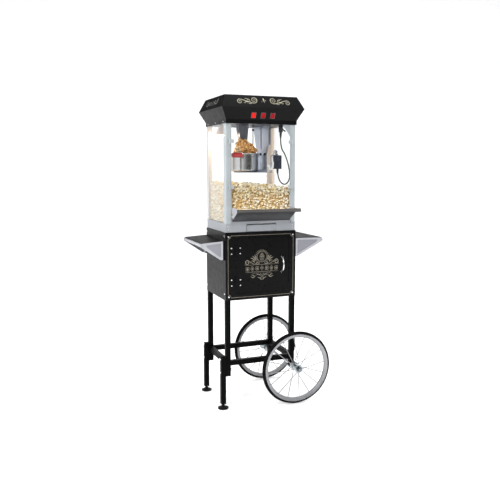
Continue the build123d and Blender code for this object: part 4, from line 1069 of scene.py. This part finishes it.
def rosette_row():
    """Four-petalled rosettes alternating with lozenges."""
    strokes = []
    for k in range(7):
        u = -0.0780 + 0.0260 * k
        v = -0.0175 - 0.0010 * abs(k - 3)
        if k % 2 == 0:
            for petal in range(4):
                angle = math.pi / 4 + petal * math.pi / 2
                strokes.append(ring(u + 0.0056 * math.cos(angle), v + 0.0066 * math.sin(angle),
                                    0.0046, 0.0011, 18))
            strokes.append(dot(u, v, 0.0020, half=0.0008))
        else:
            strokes.append(line([(u - 0.0088, v), (u, v + 0.0135), (u + 0.0088, v),
                                 (u, v - 0.0135), (u - 0.0088, v)], 0.0013))
            strokes.append(line([(u, v + 0.0050), (u, v - 0.0050)], 0.0026))
    return strokes


def emblem():
    side = emblem_side()
    strokes = roundel() + mirrored(side) + side
    strokes.append(ring(0.0, -0.0600, 0.0042, 0.0009, 20))
    strokes.append(([(0.0, -0.0690), (0.0, -0.0755)], [0.0022, 0.0006]))
    strokes += rosette_row()
    # fine lines above and below the row: half width, v at the ends, v in the middle
    for half, end_v, mid_v in ((0.092, -0.0015, 0.0000), (0.090, -0.0375, -0.0360)):
        strokes.append(([(-half, end_v), (-0.045, mid_v), (0.045, mid_v), (half, end_v)],
                        [0.0006, 0.0011, 0.0011, 0.0006]))
    strokes += [dot(-0.048 + 0.008 * k, -0.0412, 0.0014, half=0.0010) for k in range(13)]
    return [(points, [radius * 0.72 for radius in radii]) for points, radii in strokes]


ornament("door_emblem", emblem(), (0.004, -CABINET_HALF_DEPTH, 0.731), (1, 0, 0), (0, 0, 1),
         BEIGE, "storage_door", lift=0.0002)


# ------------------------------------------------------------------ rivets and screws
def dome(centre, normal, radius, height, segments=14):
    centre, normal = Vector(centre), Vector(normal).normalized()
    side = normal.orthogonal().normalized()
    other = normal.cross(side)
    # share of the radius, share of the height
    profile = ((1.0, 0.0), (0.96, 0.35), (0.75, 0.75), (0.40, 0.95))
    verts, faces = [], []
    for out, up in profile:
        for k in range(segments):
            angle = 2 * math.pi * k / segments
            verts.append(centre + (side * math.cos(angle) + other * math.sin(angle)) * radius * out
                         + normal * height * up)
    verts += [centre + normal * height, centre]
    tip, foot = len(verts) - 2, len(verts) - 1
    for i in range(len(profile) - 1):
        for k in range(segments):
            k1 = (k + 1) % segments
            faces.append((i * segments + k, i * segments + k1,
                          (i + 1) * segments + k1, (i + 1) * segments + k))
    rim = (len(profile) - 1) * segments
    for k in range(segments):
        k1 = (k + 1) % segments
        faces += [(rim + k, rim + k1, tip), (k1, k, foot)]
    return verts, faces


def domes(name, items, material, body):
    verts, faces = [], []
    for item in items:
        dome_verts, dome_faces = dome(*item)
        faces += [tuple(i + len(verts) for i in face) for face in dome_faces]
        verts += dome_verts
    new_mesh(name, verts, faces, material, body, True)


# items are (centre, normal, radius, height)
domes("cheek_rivets", [
    ((x, side * CABINET_HALF_DEPTH, z), (0, side, 0), 0.0030, 0.0016)
    for side in (-1, 1)
    for x, z in ((-0.2075, 0.7715), (-0.2075, 0.8495), (0.1965, 0.7715), (0.1965, 0.8515))],
    ZINC, "cart")

screws = []
for side_x in (-1, 1):
    for side_y in (-1, 1):
        for z in (0.9575, 1.1850, 1.4080):         # corner posts
            screws.append(((side_x * 0.186, side_y * 0.1385, z), (side_x, 0, 0), 0.0031, 0.0014))
        for z in (0.912, 0.928):                   # popper base
            screws.append(((side_x * 0.173, side_y * 0.152, z), (0, side_y, 0), 0.0029, 0.0013))
HEAD_SCREW_Z = 1.437                               # row above the glass, at the back and sides
for x in (-0.15, -0.05, 0.05, 0.15):
    screws.append(((x, 0.162, HEAD_SCREW_Z), (0, 1, 0), 0.0032, 0.0014))
for side_x in (-1, 1):
    for y in (-0.12, 0.0, 0.12):
        screws.append(((side_x * 0.187, y, HEAD_SCREW_Z), (side_x, 0, 0), 0.0032, 0.0014))
domes("popper_screws", screws, CHROME, "cart")


# ------------------------------------------------------------------ floor
def floor_material():
    material, tree = new_material("floor_pale")
    cloud = noise(tree, object_coords(tree), scale=3.0, detail=4)
    principled(tree, {
        "Base Color": two_tone(tree, cloud, ((0.93, 0.93, 0.93), (0.95, 0.95, 0.95))),
        "Roughness": 0.7,
        "Emission Color": (1, 1, 1, 1),
        "Emission Strength": 0.10})
    return material


def make_floor():
    """Floor that sweeps up into a backdrop, square to the camera's view."""
    away, across = Vector((0.363, 0.932, 0)), Vector((0.932, -0.363, 0))
    flat_z, bend_start, bend_radius, half_width = -0.0006, 2.6, 1.4, 9.0
    profile = [(-6.0, flat_z), (bend_start, flat_z)]
    for i in range(1, 13):
        angle = math.radians(90 * i / 12)
        profile.append((bend_start + bend_radius * math.sin(angle),
                        bend_radius - bend_radius * math.cos(angle)))
    profile.append((bend_start + bend_radius, 7.0))
    verts = []
    for distance, z in profile:
        for offset in (-half_width, half_width):
            point = away * distance + across * offset
            verts.append((point.x, point.y, z))
    faces = [(2 * i, 2 * i + 1, 2 * i + 3, 2 * i + 2) for i in range(len(profile) - 1)]
    new_mesh("floor", verts, faces, floor_material(), None, True)


make_floor()

# ------------------------------------------------------------------ world
# height of the direction (0 down, 1 up), colour
WORLD_HEIGHT = [
    (0.0, (1.2, 1.2, 1.2)), (0.36, (1.0, 1.0, 1.0)), (0.43, (0.55, 0.55, 0.555)),
    (0.56, (0.60, 0.60, 0.605)), (0.78, (1.0, 1.0, 1.0)), (1.0, (1.0, 1.0, 1.0))]
# share of a turn about Z, brightness
WORLD_TURN = (
    (0.0, 1.85), (0.08, 1.95), (0.13, 1.65), (0.17, 1.1), (0.21, 0.55), (0.26, 0.20),
    (0.345, 0.11), (0.37, 0.9), (0.43, 1.0), (0.47, 0.55), (0.60, 0.60), (0.68, 0.65),
    (0.76, 0.34), (0.85, 0.26), (0.91, 1.0), (1.0, 1.9))


def make_world():
    """Uneven studio surroundings for reflections, plain white to the camera."""
    world = bpy.data.worlds.new("studio")
    bpy.context.scene.world = world
    world.use_nodes = True
    tree = world.node_tree
    direction = add_node(tree, "TexCoord").outputs["Generated"]
    height = add_node(tree, "SeparateXYZ", {0: direction}).outputs["Z"]
    by_height = ramp(tree, remap(tree, height, to=(0.0, 1.0), source=(-1.0, 1.0)), WORLD_HEIGHT)
    turn = add_node(tree, "TexGradient", {"Vector": direction}, gradient_type="RADIAL")
    by_turn = ramp(tree, turn.outputs["Fac"],
                   [(place_, (level, level, level * 1.01)) for place_, level in WORLD_TURN])
    studio = mix_colours(tree, 1.0, by_height, by_turn, blend="MULTIPLY")
    to_camera = add_node(tree, "LightPath").outputs["Is Camera Ray"]
    background = tree.nodes["Background"]
    tree.links.new(mix_colours(tree, to_camera, studio, (1.25, 1.25, 1.25, 1)),
                   background.inputs["Color"])
    background.inputs["Strength"].default_value = 0.8


make_world()


# ------------------------------------------------------------------ lights
def add_light(name, kind, location, power, glossy):
    light = bpy.data.lights.new(name, kind)
    light.energy = power
    holder = bpy.data.objects.new(name, light)
    bpy.context.collection.objects.link(holder)
    holder.location = location
    holder.visible_glossy = glossy
    return holder


def area_light(name, location, target, size, power, glossy=True):
    holder = add_light(name, "AREA", location, power, glossy)
    holder.data.shape = "RECTANGLE"
    holder.data.size = size
    holder.data.size_y = size
    aim = Vector(target) - Vector(location)
    holder.rotation_euler = aim.to_track_quat("-Z", "Y").to_euler()


area_light("key", (-2.6, -2.4, 3.0), target=(0, 0, 0.8), size=1.6, power=88)
area_light("fill", (2.6, -2.6, 2.0), target=(0, 0, 0.8), size=1.5, power=36, glossy=False)
area_light("top", (0.0, 0.2, 3.6), target=(0, 0, 1.0), size=2.2, power=60)
area_light("back", (0.8, 2.2, 2.4), target=(0, 0, 1.1), size=1.6, power=40)
lamp = add_light("lamp_glow", "POINT", (-0.128, 0.100, 1.366), power=1.3, glossy=False)
lamp.data.color = (1.0, 0.74, 0.46)
lamp.data.shadow_soft_size = 0.02
area_light("front", (0.10, -1.30, 1.95), target=(0.0, 0.0, 1.05), size=0.6, power=6.5,
           glossy=False)


# ------------------------------------------------------------------ camera
def make_camera():
    camera = bpy.data.cameras.new("camera")
    camera.lens = 44.78
    camera.sensor_width = 36.0
    camera.clip_start = 0.05
    holder = bpy.data.objects.new("camera", camera)
    bpy.context.collection.objects.link(holder)
    holder.location = (-1.17664, -3.02214, 1.21695)
    view = Vector((0.3598, 0.9244, -0.1264))
    holder.rotation_euler = view.to_track_quat("-Z", "Y").to_euler()
    bpy.context.scene.camera = holder


bpy.context.scene.view_settings.view_transform = "Standard"
make_camera()
